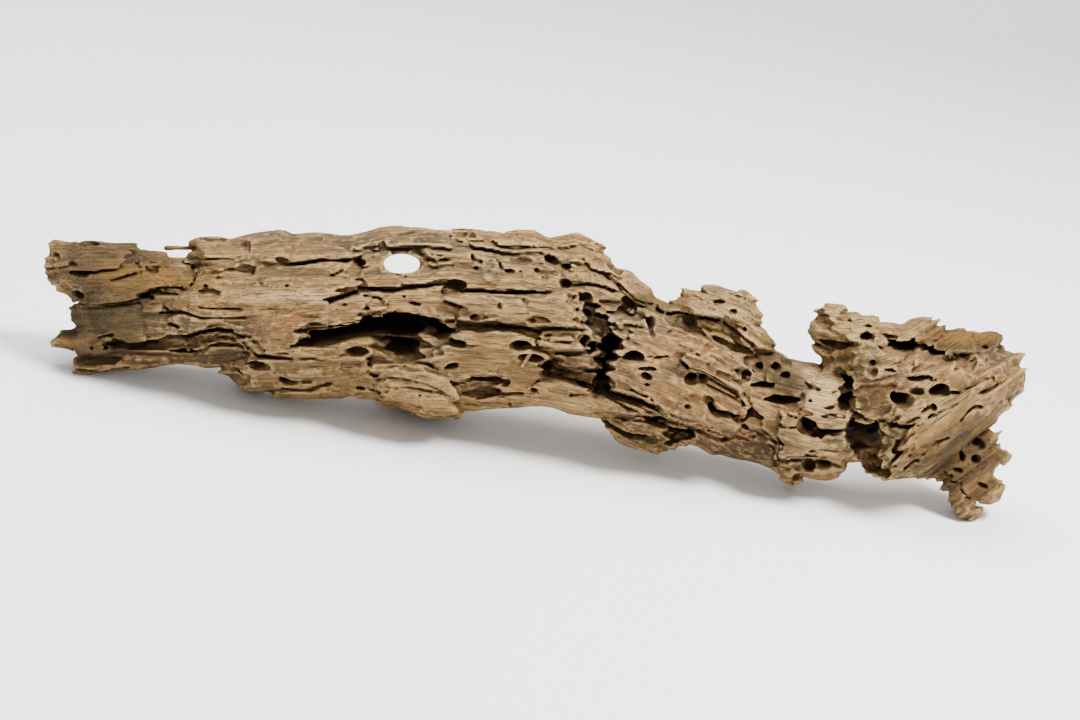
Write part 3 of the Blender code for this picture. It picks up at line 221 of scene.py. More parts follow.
    (9.5, [(174, -62), (175, -55), (180, -50), (180.5, -42.5), (183, -35), (188, -32), (197, -28),
           (205, -21.5), (211, -15.5), (219, -12), (228, -8), (235, -4), (248, -1), (248, -12),
           (242, -19), (236, -26), (230, -32), (224, -36), (217.5, -42), (210, -48.5),
           (202.5, -53.5), (195, -59), (185, -62)]),
]

HOLLOWS = [
    (30, [(-117, 15.5), (-111, 14.5), (-107.5, 16), (-97.5, 17.5), (-90, 19), (-84, 20), (-76, 22),
          (-69, 23), (-63.5, 22.5), (-57.5, 21.5), (-51.5, 20), (-47, 19.5), (-49, 16), (-44, 14.5),
          (-44.5, 11), (-50, 10), (-53, 12.5), (-57.5, 14.5), (-59.5, 11.5), (-58, 9.5), (-65, 9.5),
          (-72, 11), (-80, 11.5), (-89, 11), (-95, 10), (-100, 8.5), (-107.5, 7.5), (-114, 5.5),
          (-118.5, 6.5), (-119.5, 8), (-116, 10), (-112, 11), (-114, 13)]),
    (12, [(-85, 11.5), (-72, 11), (-58, 9.5), (-53, 6.5), (-61, 3.5), (-58, 0), (-68, -2),
          (-76, 1.5), (-83, 5)]),
    (26, [(-76, 8.5), (-69, 8), (-63, 5), (-60, 3.5), (-64, 0), (-71, 0.5), (-76, 2.5)]),
    (20, [(-216, 8.5), (-212, 9.5), (-206, 8.5), (-200, 9), (-194, 11), (-185, 13), (-177, 12),
          (-170, 13.5), (-163, 15), (-153, 14.5), (-148.5, 12), (-150, 9.5), (-157, 8.5),
          (-166, 6.5), (-172, 4), (-185, 5), (-195, 5), (-210, 4.5)]),
    (9, [(-39.5, -10.5), (-35, -9.5), (-31, -8.5), (-26, -10), (-20.5, -9), (-19, -11.5),
         (-21, -17), (-27, -20.5), (-33, -20), (-38.5, -16)]),
    (22, [(30.5, -6), (35, -8), (34.5, -15.5), (28, -15.5), (29, -10)]),
    (20, [(168.5, 5), (172, 7), (176, 8.5), (181, 9.5), (186, 10), (188, 8), (190, 5.5), (196, 6),
          (202, 4.5), (205, 1.5), (203, -0.5), (196, -1.5), (189, 0), (182, -1), (175, 1), (171, 3)]),
    (17, [(154, -35), (158, -30.5), (164, -32), (170, -30), (173, -34), (171, -40), (169, -46),
          (171, -52), (175, -55), (174, -60), (165, -57), (161, -51), (155, -48), (156, -42)]),
    (23, [(155, -35), (158.5, -30.5), (164, -32), (170, -30.5), (172, -35), (170, -40),
          (164, -42.5), (158.5, -41.5)]),
    (21, [(158, -48), (164, -50.5), (170, -51), (173, -56), (174, -60), (166, -57), (161, -51.5)]),
    (11, [(177.5, -40), (180.5, -41), (180.5, -48), (178.5, -53), (174.5, -55), (177, -48)]),
    (16, [(150.5, -19.5), (154, -18), (158, -18.5), (159, -21.5), (156.5, -25), (153, -26),
          (150, -24.5)]),
    (20, [(30, 12.5), (33.5, 14), (36.5, 11), (38.5, 7), (38, 2), (36, -2), (35.5, -7), (35, -15),
          (30, -15.5), (26, -14), (29, -8), (32, -2), (30, 5)]),
    (15, [(62, -32), (70, -34), (76, -35), (75, -39), (68, -40.5), (66, -43), (62, -42), (64, -39),
          (61, -38)]),
    (12, [(50, -25), (57, -26), (62, -29), (62, -34), (55, -32.5), (50, -30)]),
    (12, [(88, 12), (94, 9), (102.5, 5), (109, 2), (106, 1), (97.5, 3.5), (91, 6.5), (86.5, 10)]),
    (8, [(74, 17.5), (81.5, 16.5), (84, 12), (78, 14.5)]),
    (7, [(-76, 55), (-64, 56), (-58, 54.5), (-59, 50.5), (-64, 52), (-74, 52)]),
    (8, [(-89, 35.5), (-78, 35.5), (-82, 33), (-89, 33)]),
    (5, [(-89, 32), (-80, 32), (-77, 26), (-88, 25)]),
    (5, [(-170, 34.5), (-159, 34.5), (-158, 32.5), (-169, 31)]),
    (8, [(2, 3), (9, 2), (13, -3), (18, -6), (11, -8), (4, -7), (0.5, -4), (4, -1)]),
    (7, [(139, 24), (143, 25), (146, 21), (146, 15), (141, 15), (137, 19)]),
    (14, [(138, 10.5), (147, 10), (153, 9), (154.5, 5.5), (149, 6), (142, 7.5)]),
    (7, [(211, 4), (218, 1), (216, -6), (209, -5), (207, 0)]),
    (8, [(-232.5, 2.5), (-222, 3), (-210, 1.5), (-211, -2), (-224, -3.5), (-232, -3)]),
]

CRACKS = [
    (0.9, 14, [(-240, 28), (-225, 27), (-210, 28), (-200, 29.5), (-194, 30.5)]),
    (0.8, 8, [(-197, 31.5), (-194, 34.5), (-187.5, 35.5), (-178, 35.5)]),
    (0.7, 7, [(-198, 32), (-190, 33), (-181, 32.5)]),
    (0.7, 5, [(-235, 43.5), (-222, 43), (-218, 44), (-206, 45), (-201, 46.5)]),
    (0.6, 4, [(-214, 39.5), (-206, 41.5), (-201, 42.5)]),
    (0.6, 4, [(-247, 45.5), (-239, 45.5), (-233, 46.5)]),
    (0.6, 4, [(-187, 56), (-178, 55.5), (-172, 56)]),
    (0.7, 6, [(-232, -5), (-220, -6.5), (-205, -3.5)]),
    (0.6, 4, [(-221, 11), (-214, 12.5)]),
    (0.6, 4, [(-190, 23.5), (-177.5, 23), (-170, 21), (-147.5, 21)]),
    (0.6, 3, [(-170, 26), (-150, 25.5)]),
    (0.6, 4, [(-179, 48.5), (-175, 46), (-173, 42), (-172.5, 37)]),
    (0.7, 5, [(-158, 44.5), (-150, 44.5), (-148, 46.5), (-144, 46), (-142.5, 42)]),
    (0.6, 4, [(-125, 48), (-114, 49), (-97.5, 49)]),
    (0.7, 6, [(-107, 29.5), (-100, 31.5), (-92, 33)]),
    (0.7, 6, [(-89, 35.5), (-77.5, 36), (-70, 36)]),
    (0.6, 4, [(-67.5, 37.5), (-60, 36.5), (-47.5, 37.5)]),
    (0.8, 6, [(-35, 58.5), (-25, 58.5), (-20, 56.5), (-2.5, 55.5), (12.5, 54)]),
    (0.6, 4, [(-76, 46), (-72, 42.5), (-67, 41)]),
    (0.7, 6, [(-37, 34.5), (-32, 33.5), (-20, 33.5), (-2, 34)]),
    (0.6, 4, [(-2, 15.5), (8, 15.5), (17.5, 16)]),
    (0.6, 3, [(2.5, 12.5), (17.5, 11.5)]),
    (0.6, 3, [(2.5, 9.5), (19, 8.5)]),
    (0.6, 5, [(-42.5, 17), (-30, 17), (-20, 16), (-5, 15)]),
    (0.7, 6, [(-20, -17.5), (-14, -17), (-8, -17)]),
    (0.6, 4, [(-19, -10.5), (-16.5, -13)]),
    (0.6, 4, [(-16.5, -20), (-14, -24)]),
    (0.6, 5, [(16, -18.5), (22.5, -18), (26, -17)]),
    (0.8, 6, [(4, -8), (12.5, -9), (20, -11.5), (26, -14)]),
    (0.8, 6, [(-135, -16), (-125, -15), (-115, -15.5), (-109, -13), (-105, -12)]),
    (0.6, 4, [(-139, 1.5), (-132, 2.5), (-125, 3)]),
    (0.7, 5, [(-91.5, -13.5), (-86, -14.5), (-82, -15), (-79, -18)]),
    (0.5, 1.6, [(-82, -8), (-70, -9), (-55, -12), (-42.5, -19)]),
    (0.5, 1.6, [(-81, -20), (-70, -21), (-57.5, -24), (-50, -27)]),
    (0.5, 1.6, [(-81, -13.5), (-65, -13.5), (-50, -16.5), (-41, -22)]),
    (1.5, 12, [(28, -17.5), (36, -18.5), (50, -21.5), (57.5, -25), (62, -28)]),
    (1.2, 10, [(62, -28.5), (70, -32), (76, -33), (84, -35.5), (92, -38.5)]),
    (1.5, 8, [(33.5, -32), (40, -35.5), (46, -38), (53, -39)]),
    (0.6, 4, [(46, -15), (52, -18), (55, -19)]),
    (0.7, 5, [(57, -20), (59.5, -24)]),
    (0.7, 6, [(72, -1), (74, -4.5), (82, -6.5), (91, -11.5), (99, -17), (102, -22.5)]),
    (0.6, 4, [(82, -12), (91, -16), (99, -20)]),
    (0.6, 3, [(55, 1.5), (64, 1.5)]),
    (0.7, 5, [(44, 29.5), (47, 26), (48, 23)]),
    (0.7, 5, [(34, 23.5), (40, 23), (46, 22)]),
    (0.6, 4, [(25, 45.5), (33, 43), (37, 38)]),
    (0.6, 4, [(16, 37.5), (26, 38), (35, 34)]),
    (0.6, 4, [(15, 31), (21, 33)]),
    (0.8, 6, [(62.5, 23.5), (70, 22.5), (75, 22)]),
    (0.7, 5, [(8, 56), (17.5, 56), (27, 55)]),
    (0.7, 5, [(80, 27), (91, 23), (99, 18), (105, 11.5)]),
    (0.7, 6, [(142, -39.5), (145, -36.5), (152.5, -35.5)]),
    (0.6, 5, [(120, -34.5), (128, -34.5)]),
    (0.6, 5, [(117, -51), (125, -49.5), (133, -49.5)]),
    (0.8, 6, [(99, -31.5), (102.5, -34)]),
    (0.7, 5, [(211.5, -30), (214, -26), (217, -24), (221, -23)]),
    (0.6, 4, [(191.5, -43.5), (197.5, -41), (205, -38.5)]),
    (0.7, 4, [(186, -47.5), (189, -50), (192, -47), (194, -44)]),
    (0.6, 4, [(181.5, -55), (186, -51), (189, -50)]),
    (0.7, 5, [(184, -9), (191, -8.5), (197, -11)]),
    (0.6, 4, [(213.5, -14), (218, -12.5)]),
    (0.6, 4, [(222, -10.5), (227, -9.5)]),
    (0.6, 4, [(154, -24), (161, -25)]),
    (0.8, 6, [(120, -44), (119, -49)]),
    (0.5, 2, [(202.5, -57), (209, -62), (214, -70)]),
]

GALLERIES = [
    (-69, 48, 8.5, 4.5, 0, 120), (-230, 42.5, 4.5, 1.5, 0, 10), (-231, 32.5, 4, 2, 0, 12),
    (-241.5, 51, 2, 1, 0, 6), (-233.5, 47.5, 2.5, 1.2, 0, 4), (-204, 50, 5.5, 2, 14, 12),
    (-194, 45, 3, 1.5, -12, 8), (-175.5, 44.5, 3.5, 2, -35, 10), (-224, 6, 1, 0.8, 0, 6),
    (-217, 6, 1, 0.8, 0, 6), (-212, 9, 4, 1.2, 0, 10), (-147, 44.5, 4.5, 2.5, 0, 12),
    (-128.5, 49, 3.5, 2, -20, 5), (-167.5, 36.5, 1, 0.8, 0, 6), (-139.5, 38, 1, 0.8, 0, 6),
    (-126.5, 37, 1, 0.5, 0, 4), (-140, -3.5, 5, 2.5, -8, 15), (-125.5, -10.5, 6, 2.5, 0, 16),
    (-117, -10.5, 3, 2, 0, 4), (-91.5, 3.5, 5.5, 2.5, 0, 10), (-151.5, -5, 3, 1, -30, 4),
    (-92.5, 45.5, 4, 2.5, -8, 16), (-85, 55.5, 4, 1, 5, 8), (-79.5, 56.5, 2, 2.5, -30, 8),
    (-87, 25.5, 2, 1.2, 0, 8), (-86.5, 21, 2.5, 1.2, 0, 6), (-40, 61.5, 4.5, 2, 0, 6),
    (-34, 61.5, 1.5, 2, 0, 8), (-48, 50, 3, 0.9, 0, 6), (-33, 50.5, 1, 1.5, 0, 6),
    (-30, 49, 1.2, 0.9, 0, 5), (-32, 46, 1, 0.8, 0, 5), (-42, 36.5, 5.5, 3, 0, 10),
    (-44, 32, 3, 1, 0, 8), (-68, 31.5, 1, 0.5, 0, 4), (-62.5, 28, 3, 1, -10, 8),
    (-47.5, 13, 3, 2.5, 0, 16), (-41, 7.5, 4.5, 2, -8, 14), (-44, -3.5, 3.5, 1.5, 15, 10),
    (-32.5, 21, 2.5, 1.5, 0, 8), (-60, -18, 1, 0.8, 0, 3), (-17, -11.5, 1.5, 2, -30, 5),
    (-2.5, -15.5, 2, 1.2, -30, 6), (-28, -7.5, 2, 0.8, 0, 4), (-29.5, -11.5, 9, 2.2, 0, 18),
    (-10, 49.5, 5.5, 2, 0, 4), (5.5, 49.5, 3.5, 2, -15, 9), (-15, 44, 2, 1, 0, 8),
    (-1.5, 44.5, 1, 1, 0, 5), (2.5, 41, 1.5, 0.7, 0, 5), (13.5, 46.5, 2.5, 1.2, 0, 8),
    (13, 38, 2, 2, 20, 6), (-7.5, 29, 1.5, 1.5, 0, 5), (-19, 17.5, 1.5, 1.2, 0, 7),
    (-3.5, 19.5, 1.5, 0.8, 0, 4), (-20, 27, 1, 1.5, 0, 3), (-19.5, 46.5, 0.8, 1.5, 0, 4),
    (-10, 7, 5.5, 3, 0, 18), (0, 5.5, 7, 1.2, -6, 12), (-5, 1, 6.5, 2.5, -8, 15),
    (4, -4.5, 3.5, 2, -20, 10), (22.5, -12.5, 4, 1.2, -10, 8), (22.5, 9, 2.5, 3.5, -25, 12),
    (25.5, 7, 2, 3, -20, 14), (23, 30.5, 3.5, 2.5, 0, 10), (24, 23.5, 2, 1.5, -30, 8),
    (22, 20.5, 1, 1.5, 0, 6), (21.5, 55, 4, 1.2, -5, 6), (-10, 61, 2.5, 1.2, 0, 4),
    (-25.5, 65, 1, 0.8, 0, 4), (-19, 63.5, 1.5, 1, 0, 4), (47, 1, 5.5, 2.8, 0, 16),
    (54.5, -4.5, 4.5, 1.2, -5, 12), (53, -8.5, 2.5, 1.5, -20, 10), (53.5, -12.5, 1.2, 0.8, 0, 7),
    (75.5, -9.5, 3.5, 2.5, 0, 14), (81.5, -9.5, 2.5, 2, 0, 12), (74, -23.5, 1.2, 1, 0, 7),
    (83, 5.5, 2, 1.5, 0, 8), (56, 13, 1.2, 1.2, 0, 6), (55, 18, 1.8, 3, -20, 8),
    (37, 17.5, 1.5, 1, 0, 5), (41.5, 25, 2.5, 1.5, 0, 6), (44, 28, 4, 2, -45, 8),
    (44, 10.5, 1, 1, 0, 4), (84, -20.5, 2, 3, 30, 14), (87, -25, 3.5, 2, -50, 14),
    (93, -27.5, 4, 1.8, -12, 14), (98, -28.5, 2.5, 1.8, 0, 14), (99, -31, 1.2, 0.8, 0, 5),
    (102, -8.5, 3, 2.5, 0, 10), (105.5, -26.5, 3.5, 2.5, -30, 14), (109, -28.5, 3, 2, -25, 10),
    (102, -34, 2.5, 1.5, -40, 8), (108.5, -4, 2, 2, -30, 8), (118, -3.5, 2, 2, -30, 9),
    (122.5, -8.5, 2.5, 1.5, 0, 11), (111.5, -13, 6, 1.5, -5, 14), (121, -20.5, 9, 2.5, -3, 18),
    (123, -1, 3, 2, -30, 4), (102, 34, 2.5, 1.5, -30, 7), (90, 29, 2, 1, 0, 4),
    (96.5, 24, 1.5, 1, 0, 4), (88, 28.5, 1.5, 1, 0, 4), (83, 29.5, 1.5, 0.8, 0, 4),
    (75, 19, 3, 3.5, 0, 8), (135.5, -34, 4.5, 3, -40, 16), (133, -32.5, 4.5, 4, 0, 18),
    (140, -36.5, 3, 2.5, 0, 14), (134, -52.5, 3, 4, 0, 10), (141, -52, 4, 2, -15, 9),
    (136.5, -46, 1.5, 0.8, 0, 4), (135, -20.5, 1, 0.7, 0, 4), (128, -59, 2.5, 1.5, 30, 5),
    (125, -62, 2, 1, 0, 3), (163, 11, 3.5, 2, 0, 9), (164, 16.5, 2, 0.8, 0, 4),
    (175, 11, 3, 1.2, 0, 8), (166, -2, 1.5, 1.5, 0, 8), (166, -6, 3, 2, 0, 4),
    (175, -5.5, 3, 0.9, 0, 4), (150.5, -10, 6.5, 2.5, 0, 14), (155, -11.5, 3.5, 3, 0, 15),
    (145, -12, 2, 1.5, 0, 12), (154.5, -21, 3.5, 3, -20, 12), (151.5, -24.5, 2.5, 1.5, 0, 8),
    (158.5, -28, 3, 1.5, 0, 12), (181, -20, 4.5, 3.5, 0, 15), (190.5, -9.5, 6.5, 1.2, 5, 8),
    (200, -15.5, 5, 3, 0, 15), (207.5, -16.5, 2.5, 1, 0, 6), (193, -25.5, 3.5, 1.8, 20, 6),
    (196.5, -24, 2, 2, 30, 9), (203.5, -1.5, 2.5, 1.2, 0, 9), (189, -5, 3, 1.5, 20, 5),
    (182.5, -24.5, 1.5, 1.5, 0, 5), (189, -16, 3.5, 2, 0, 4), (176.5, -32, 2, 1.5, 0, 6),
    (212.5, -1.5, 1.5, 2.5, 0, 5), (219, -42, 3, 2.2, 0, 8), (218, -49.5, 2, 2.2, 0, 8),
    (211, -48, 1, 2.5, 0, 5), (208.5, -55, 2.5, 1.2, -20, 5.5), (221, -63, 2.5, 1, -35, 5),
    (230, 5, 2, 1, 0, 4), (222.5, 6, 1.5, 0.8, 0, 4), (189.5, -47.5, 2, 1.5, 0, 3),
    (170, -37, 2, 2, 0, 8),
]


def near_path(points, x, y):
    """Distance to a line through points."""
    nearest = np.float32(1e9)
    for (ax, ay), (bx, by) in zip(points, points[1:]):
        run, rise = bx - ax, by - ay
        share = np.clip(((x - ax) * run + (y - ay) * rise) / (run * run + rise * rise), 0, 1)
        nearest = np.minimum(nearest, np.hypot(x - ax - share * run, y - ay - share * rise))
    return nearest


def inside(points, x, y):
    """Distance into a closed outline, positive inside it and negative outside."""
    nearest = near_path(points + points[:1], x, y)
    within = np.zeros(np.broadcast(x, y).shape, bool)
    for (ax, ay), (bx, by) in zip(points, points[1:] + points[:1]):
        if by != ay:
            within ^= ((y < ay) != (y < by)) & (x < ax + (y - ay) * (bx - ax) / (by - ay))
    return np.where(within, nearest, -nearest)


def step(value):
    """A smooth climb from 0 to 1 while the value goes from 0 to 1."""
    value = np.clip(value, 0, 1)
    return value * value * (3 - 2 * value)


NOISE_CELLS = 32


def noise(seed, *places):
    """Smooth noise from -1 to 1, at places counted in cells, that repeats after NOISE_CELLS."""
    stride = NOISE_CELLS ** len(places)
    table = np.random.default_rng(seed).uniform(-1, 1, stride).astype(np.float32)
    values = [0]
    shares = []
    for place in places:
        stride //= NOISE_CELLS
        low = np.floor(place)
        shares.append(step((place - low).astype(np.float32)))
        low = low.astype(np.int32)
        values = [
            index + ((low + side) & (NOISE_CELLS - 1)) * stride for index in values for side in (0, 1)
        ]
    values = [table[index] for index in values]
    for share in reversed(shares):
        values = [a + (b - a) * share for a, b in zip(values[::2], values[1::2])]
    return values[0]


def across_fibres(x, y):
    """How far a place lies across the fibres from the one that runs through the layout's middle."""
    places = np.arange(FIBRE_X[0], FIBRE_X[-1] + 1.0)
    padded = np.pad(np.interp(places, FIBRE_X, FIBRE_Y), FIBRE_BLEND // 2, mode="edge")
    line = np.convolve(padded, np.ones(FIBRE_BLEND) / FIBRE_BLEND, mode="valid")
    return y - np.interp(x, places, line).astype(np.float32)


# A growth layer is about this thick. Each wave that tears it has a share, and lengths along and
# across the fibres; a tread slopes a little, and a riser takes up a part of its length.
TERRACE_RISER = 1.3
TERRACE_WAVES = [(0.55, 46, 11), (0.3, 19, 4.5), (0.15, 8, 1.8)]
TREAD_SLOPE = 0.12
RISER_LENGTH = 0.22


def terraces(seed, along, across, reach):
    """Torn growth layers: flat treads and steep risers, in millimetres either side of nothing."""
    swell = 0
    for number, (share, wave_along, wave_across) in enumerate(TERRACE_WAVES):
        swell = swell + share * noise(seed + number, along / wave_along, across / wave_across)
    level = reach * swell / TERRACE_RISER
    tread = np.floor(level)
    rise = step((level - tread - 0.5) / RISER_LENGTH + 0.5)
    return TERRACE_RISER * (tread + TREAD_SLOPE * (level - tread) + (1 - TREAD_SLOPE) * rise)


BUNDLE_ROWS = 64
BUNDLE_SHIFT = 9


def bundles(seed, along, across, size):
    """Levels from 0 to 1 of broken bundles of fibre, laid like uneven bricks."""
    rng = np.random.default_rng(seed)
    levels = rng.random((BUNDLE_ROWS, BUNDLE_ROWS)).astype(np.float32)
    starts = (BUNDLE_SHIFT * rng.random(BUNDLE_ROWS)).astype(np.float32)
    row = np.floor(across / size[1]).astype(np.int32) % BUNDLE_ROWS
    column = np.floor(along / size[0] + starts[row]).astype(np.int32) % BUNDLE_ROWS
    return levels[column, row]


# Torn ends stand out this far along and across the fibres, and single fibres by TORN_FIBRE.
RAGGED_ALONG = 2.6
RAGGED_ACROSS = 1.1
TORN_FIBRE = 1.7


def ragged(x, y, share=1.0):
    """The layout's places, moved as torn fibre ends move an edge."""
    across = across_fibres(x, y)
    slope = across - across_fibres(x + 1, y)
    pull = share * RAGGED_ALONG * noise(1, x / 40, across / 3.4)
    pull = pull + TORN_FIBRE * noise(12, x / 18, across / 1.5)
    push = share * RAGGED_ACROSS * noise(2, x / 15, across / 8)
    reach = np.hypot(1, slope)
    return x + (pull - push * slope) / reach, y + (pull * slope + push) / reach


# A plate is made of layers this thick, and each may have broken back from the one below it.
PLATE_EDGE = 0.6
PLATE_LAYER = 2.6
PLATE_RETREAT = 3.0


def layered(face, level, outline, number):
    """The face with a plate laid on it, whose torn edge steps back layer by layer."""
    edge = inside(outline, torn_x, torn_y).astype(np.float32)
    near = edge > -PLATE_EDGE
    layers = max(round(abs(level) / PLATE_LAYER), 1)
    shown = 0.0
    for layer in range(layers):
        worn = noise(50 + 4 * number + layer, flat_x[near] / 16, across[near] / 4)
        back = PLATE_RETREAT * layer * np.maximum(worn, 0)
        shown = shown + step(0.5 + (edge[near] - back) / PLATE_EDGE) / layers
    face = face.copy()
    face[near] += (level - face[near]) * shown
    return face


VOXEL = 0.8
UNDERCUT = 5.0
UNDERCUT_WIDTH = 1.7
UNDERCUT_EDGE = (0.8, 4.8)


def undercut(face, seed):
    """A map of heights with grooves worn in under every edge that looks down."""
    cells = round(UNDERCUT_WIDTH / VOXEL)
    above = np.roll(face, -cells, axis=1) - face
    share = 0.65 + 0.35 * noise(seed, flat_x / 14, flat_y / 6)
    low, high = UNDERCUT_EDGE
    return face - UNDERCUT * share * step((above - low) / (high - low))


def at_station(values, x):
    """A depth between the stations along the branch."""
    return np.interp(x, STATION_X, values).astype(np.float32)


def rounded(depth_in, from_middle, half, round_off):
    """Distance outside a slab with rounded edges."""
    return np.hypot(
        np.maximum(round_off - depth_in, 0), np.maximum(from_middle - half + round_off, 0)
    ) - round_off


BOX_X, BOX_Y, BOX_Z = (-258.0, 254.0), (-88.0, 76.0), (-66.0, 54.0)
x = np.arange(*BOX_X, VOXEL, dtype=np.float32)[:, None, None]
y = np.arange(*BOX_Y, VOXEL, dtype=np.float32)[None, :, None]
z = np.arange(*BOX_Z, VOXEL, dtype=np.float32)[None, None, :]
places = (x, y, z)
corner = np.array([x[0, 0, 0], y[0, 0, 0], z[0, 0, 0]])
flat_x, flat_y = x[:, :, 0] + 0 * y[:, :, 0], y[:, :, 0] + 0 * x[:, :, 0]
torn_x, torn_y = ragged(flat_x, flat_y)

# The outline follows the torn fibres more calmly than the plates do.
CALM = 0.45
calm_x, calm_y = ragged(flat_x, flat_y, CALM)
across = across_fibres(torn_x, torn_y)

# Torn bundles on top and underneath sink away from the middle of the depth, and both ends have teeth.
BUNDLE = (52.0, 15.0)
BUNDLE_DROP = 5.0
SIDE_TERRACE = 7.0
END_TEETH = 7.0
END_STARTS = 226
half, middle = at_station(HALF_DEPTH, x), at_station(MID_DEPTH, x)
torn_along, torn_z = x + 2 * noise(4, x / 30, z / 3), z + 2 * noise(5, x / 20, z / 9)
level = BUNDLE_DROP * bundles(3, torn_along, torn_z, BUNDLE)
torn_end = END_TEETH * step((np.abs(x) - END_STARTS) / 16) * (0.5 + 0.5 * noise(10, y / 5, z / 6))
level = level + np.maximum(terraces(31, torn_along, torn_z, SIDE_TERRACE) + 2, 0)
sunk = level * step((np.abs(z - middle) - 5) / 8) + torn_end
depth_in = inside(OUTLINE, calm_x, calm_y).astype(np.float32)[:, :, None] - sunk

# Where wear has smoothed the face (x, y, half width, half height), the torn layers hardly show.
SMOOTH = [(139, -19, 22, 20), (120, -4, 24, 13), (212, -30, 36, 13), (222, -18, 24, 16),
          (30, 2, 9, 18), (18, -1, 16, 8), (-132, 8, 20, 14), (-215, 22, 26, 5), (178, 12, 30, 14),
          (178, -14, 22, 14), (206, 4, 26, 14), (100, -42, 20, 7), (-62, -17, 25, 13)]
smooth = np.zeros_like(flat_x)
for sx, sy, half_x, half_y in SMOOTH:
    away = np.hypot((flat_x - sx) / half_x, (flat_y - sy) / half_y)
    smooth = np.maximum(smooth, step((1.3 - away) / 0.6))

# Plates lie over one another on the face, and torn bundles sink into the back.
FACE_BUNDLE = (38.0, 7.5)
FACE_DROP = 0.7
FACE_TERRACE = 2.4
BACK_TERRACE = 8.0
TURN_OF_FACE = 14.0
SMOOTH_SHARE = 0.8
face = np.zeros_like(flat_x)
for number, (height, outline) in enumerate(PLATES):
    face = layered(face, height, outline, number)
torn = terraces(34, torn_x, across, FACE_TERRACE)
torn = torn - FACE_DROP * bundles(9, torn_x, across, FACE_BUNDLE)
face = undercut(face + (1 - SMOOTH_SHARE * smooth) * torn, 11)
back = BUNDLE_DROP * bundles(6, torn_x, across, BUNDLE)
back = back + terraces(37, torn_x, across, BACK_TERRACE) + 1
back = -undercut(-back, 13)
lift = face.astype(np.float32)[:, :, None] * step((z - middle + 4) / TURN_OF_FACE)
drop = back.astype(np.float32)[:, :, None] * step((middle - z + 4) / TURN_OF_FACE)
wood = rounded(depth_in, np.abs(z - lift - drop - middle), half, ROUNDING * half)
leg_in = inside(LEG, calm_x, calm_y).astype(np.float32)[:, :, None]
leg = rounded(leg_in, np.abs(z - LEG_MID_DEPTH), LEG_HALF_DEPTH, LEG_ROUNDING * LEG_HALF_DEPTH)
from_stub = zip(places, STUB_CENTRE, STUB_HALF)
stub = sum(((place - centre) / size) ** 2 for place, centre, size in from_stub)
stub = (np.sqrt(stub) - 1) * min(STUB_HALF)
wood = np.minimum(np.minimum(wood, leg), stub).astype(np.float32)
depth_below = -wood.copy()
del leg, stub, lift, drop, sunk, torn_end

# Fine relief is worked out only near the skin: slow waves, fibre ridges 1.5 to 2 mm apart, thin growth
# layers, pits in the worst eaten end, the stub's torn fibres and drying seams. Each is a height in
# millimetres, and BAND is how near the skin.
BAND = 4.0
WAVE = 1.1
FIBRE = 0.35
LAYER = 0.35
PITS = 2.4
STUB_TORN = 1.8
SEAM_DEPTH = 1.8
SEAM_WIDTH = 0.05
band = np.nonzero(np.abs(wood) < BAND)
bx, by, bz = (place.ravel()[index] for place, index in zip(places, band))
fibre_y = across_fibres(bx, by)
shell = wood[band]
eaten = step((bx - 120) / 40) * step((by + 22 - 0.55 * (bx - 180)) / 8)
relief = WAVE * noise(8, bx / 18, fibre_y / 6, bz / 6)
relief += FIBRE * noise(21, bx / 24, fibre_y / 1.8, bz / 1.8)
relief += 0.6 * FIBRE * noise(22, bx / 8, fibre_y / 1.5, bz / 3)
relief += LAYER * noise(23, bx / 16, fibre_y / 9, shell / 1.6)
relief += PITS * eaten * np.maximum(noise(26, bx / 6, by / 4, bz / 4), -0.2)
from_stub = zip((bx, by, bz), STUB_CENTRE, STUB_HALF)
on_stub = np.sqrt(sum(((place - centre) / size) ** 2 for place, centre, size in from_stub))
relief += STUB_TORN * step((1.35 - on_stub) / 0.4) * noise(27, bx / 7, by / 4, bz / 9)
seam = np.abs(noise(24, bx / 36, fibre_y / 5, bz / 5)) / SEAM_WIDTH
relief += SEAM_DEPTH * step(1 - seam) * step(0.5 + 2 * noise(25, bx / 40, fibre_y / 12, bz / 12))
relief *= 1 - 0.55 * smooth[band[0], band[1]] * (bz > 0)
wood[band] = shell + relief
del band, bx, by, bz, fibre_y, shell, relief, seam, eaten, on_stub


def window_around(low, high):
    """The part of the layout between two corners."""
    return tuple(
        slice(*np.searchsorted(place.ravel(), (a, b))) for place, a, b in zip(places, low, high)
    )


def crop(window):
    """The layout's places inside a window."""
    wx, wy, wz = window
    return x[wx], y[:, wy], z[:, :, wz]


def skin_depth(field):
    """The z of the wood's skin, seen from the front, over each place of the layout."""
    solid = field < 0
    last = solid.shape[2] - 1 - np.argmax(solid[:, :, ::-1], axis=2)
    return np.where(solid.any(axis=2), z[0, 0, last], z[0, 0, 0])


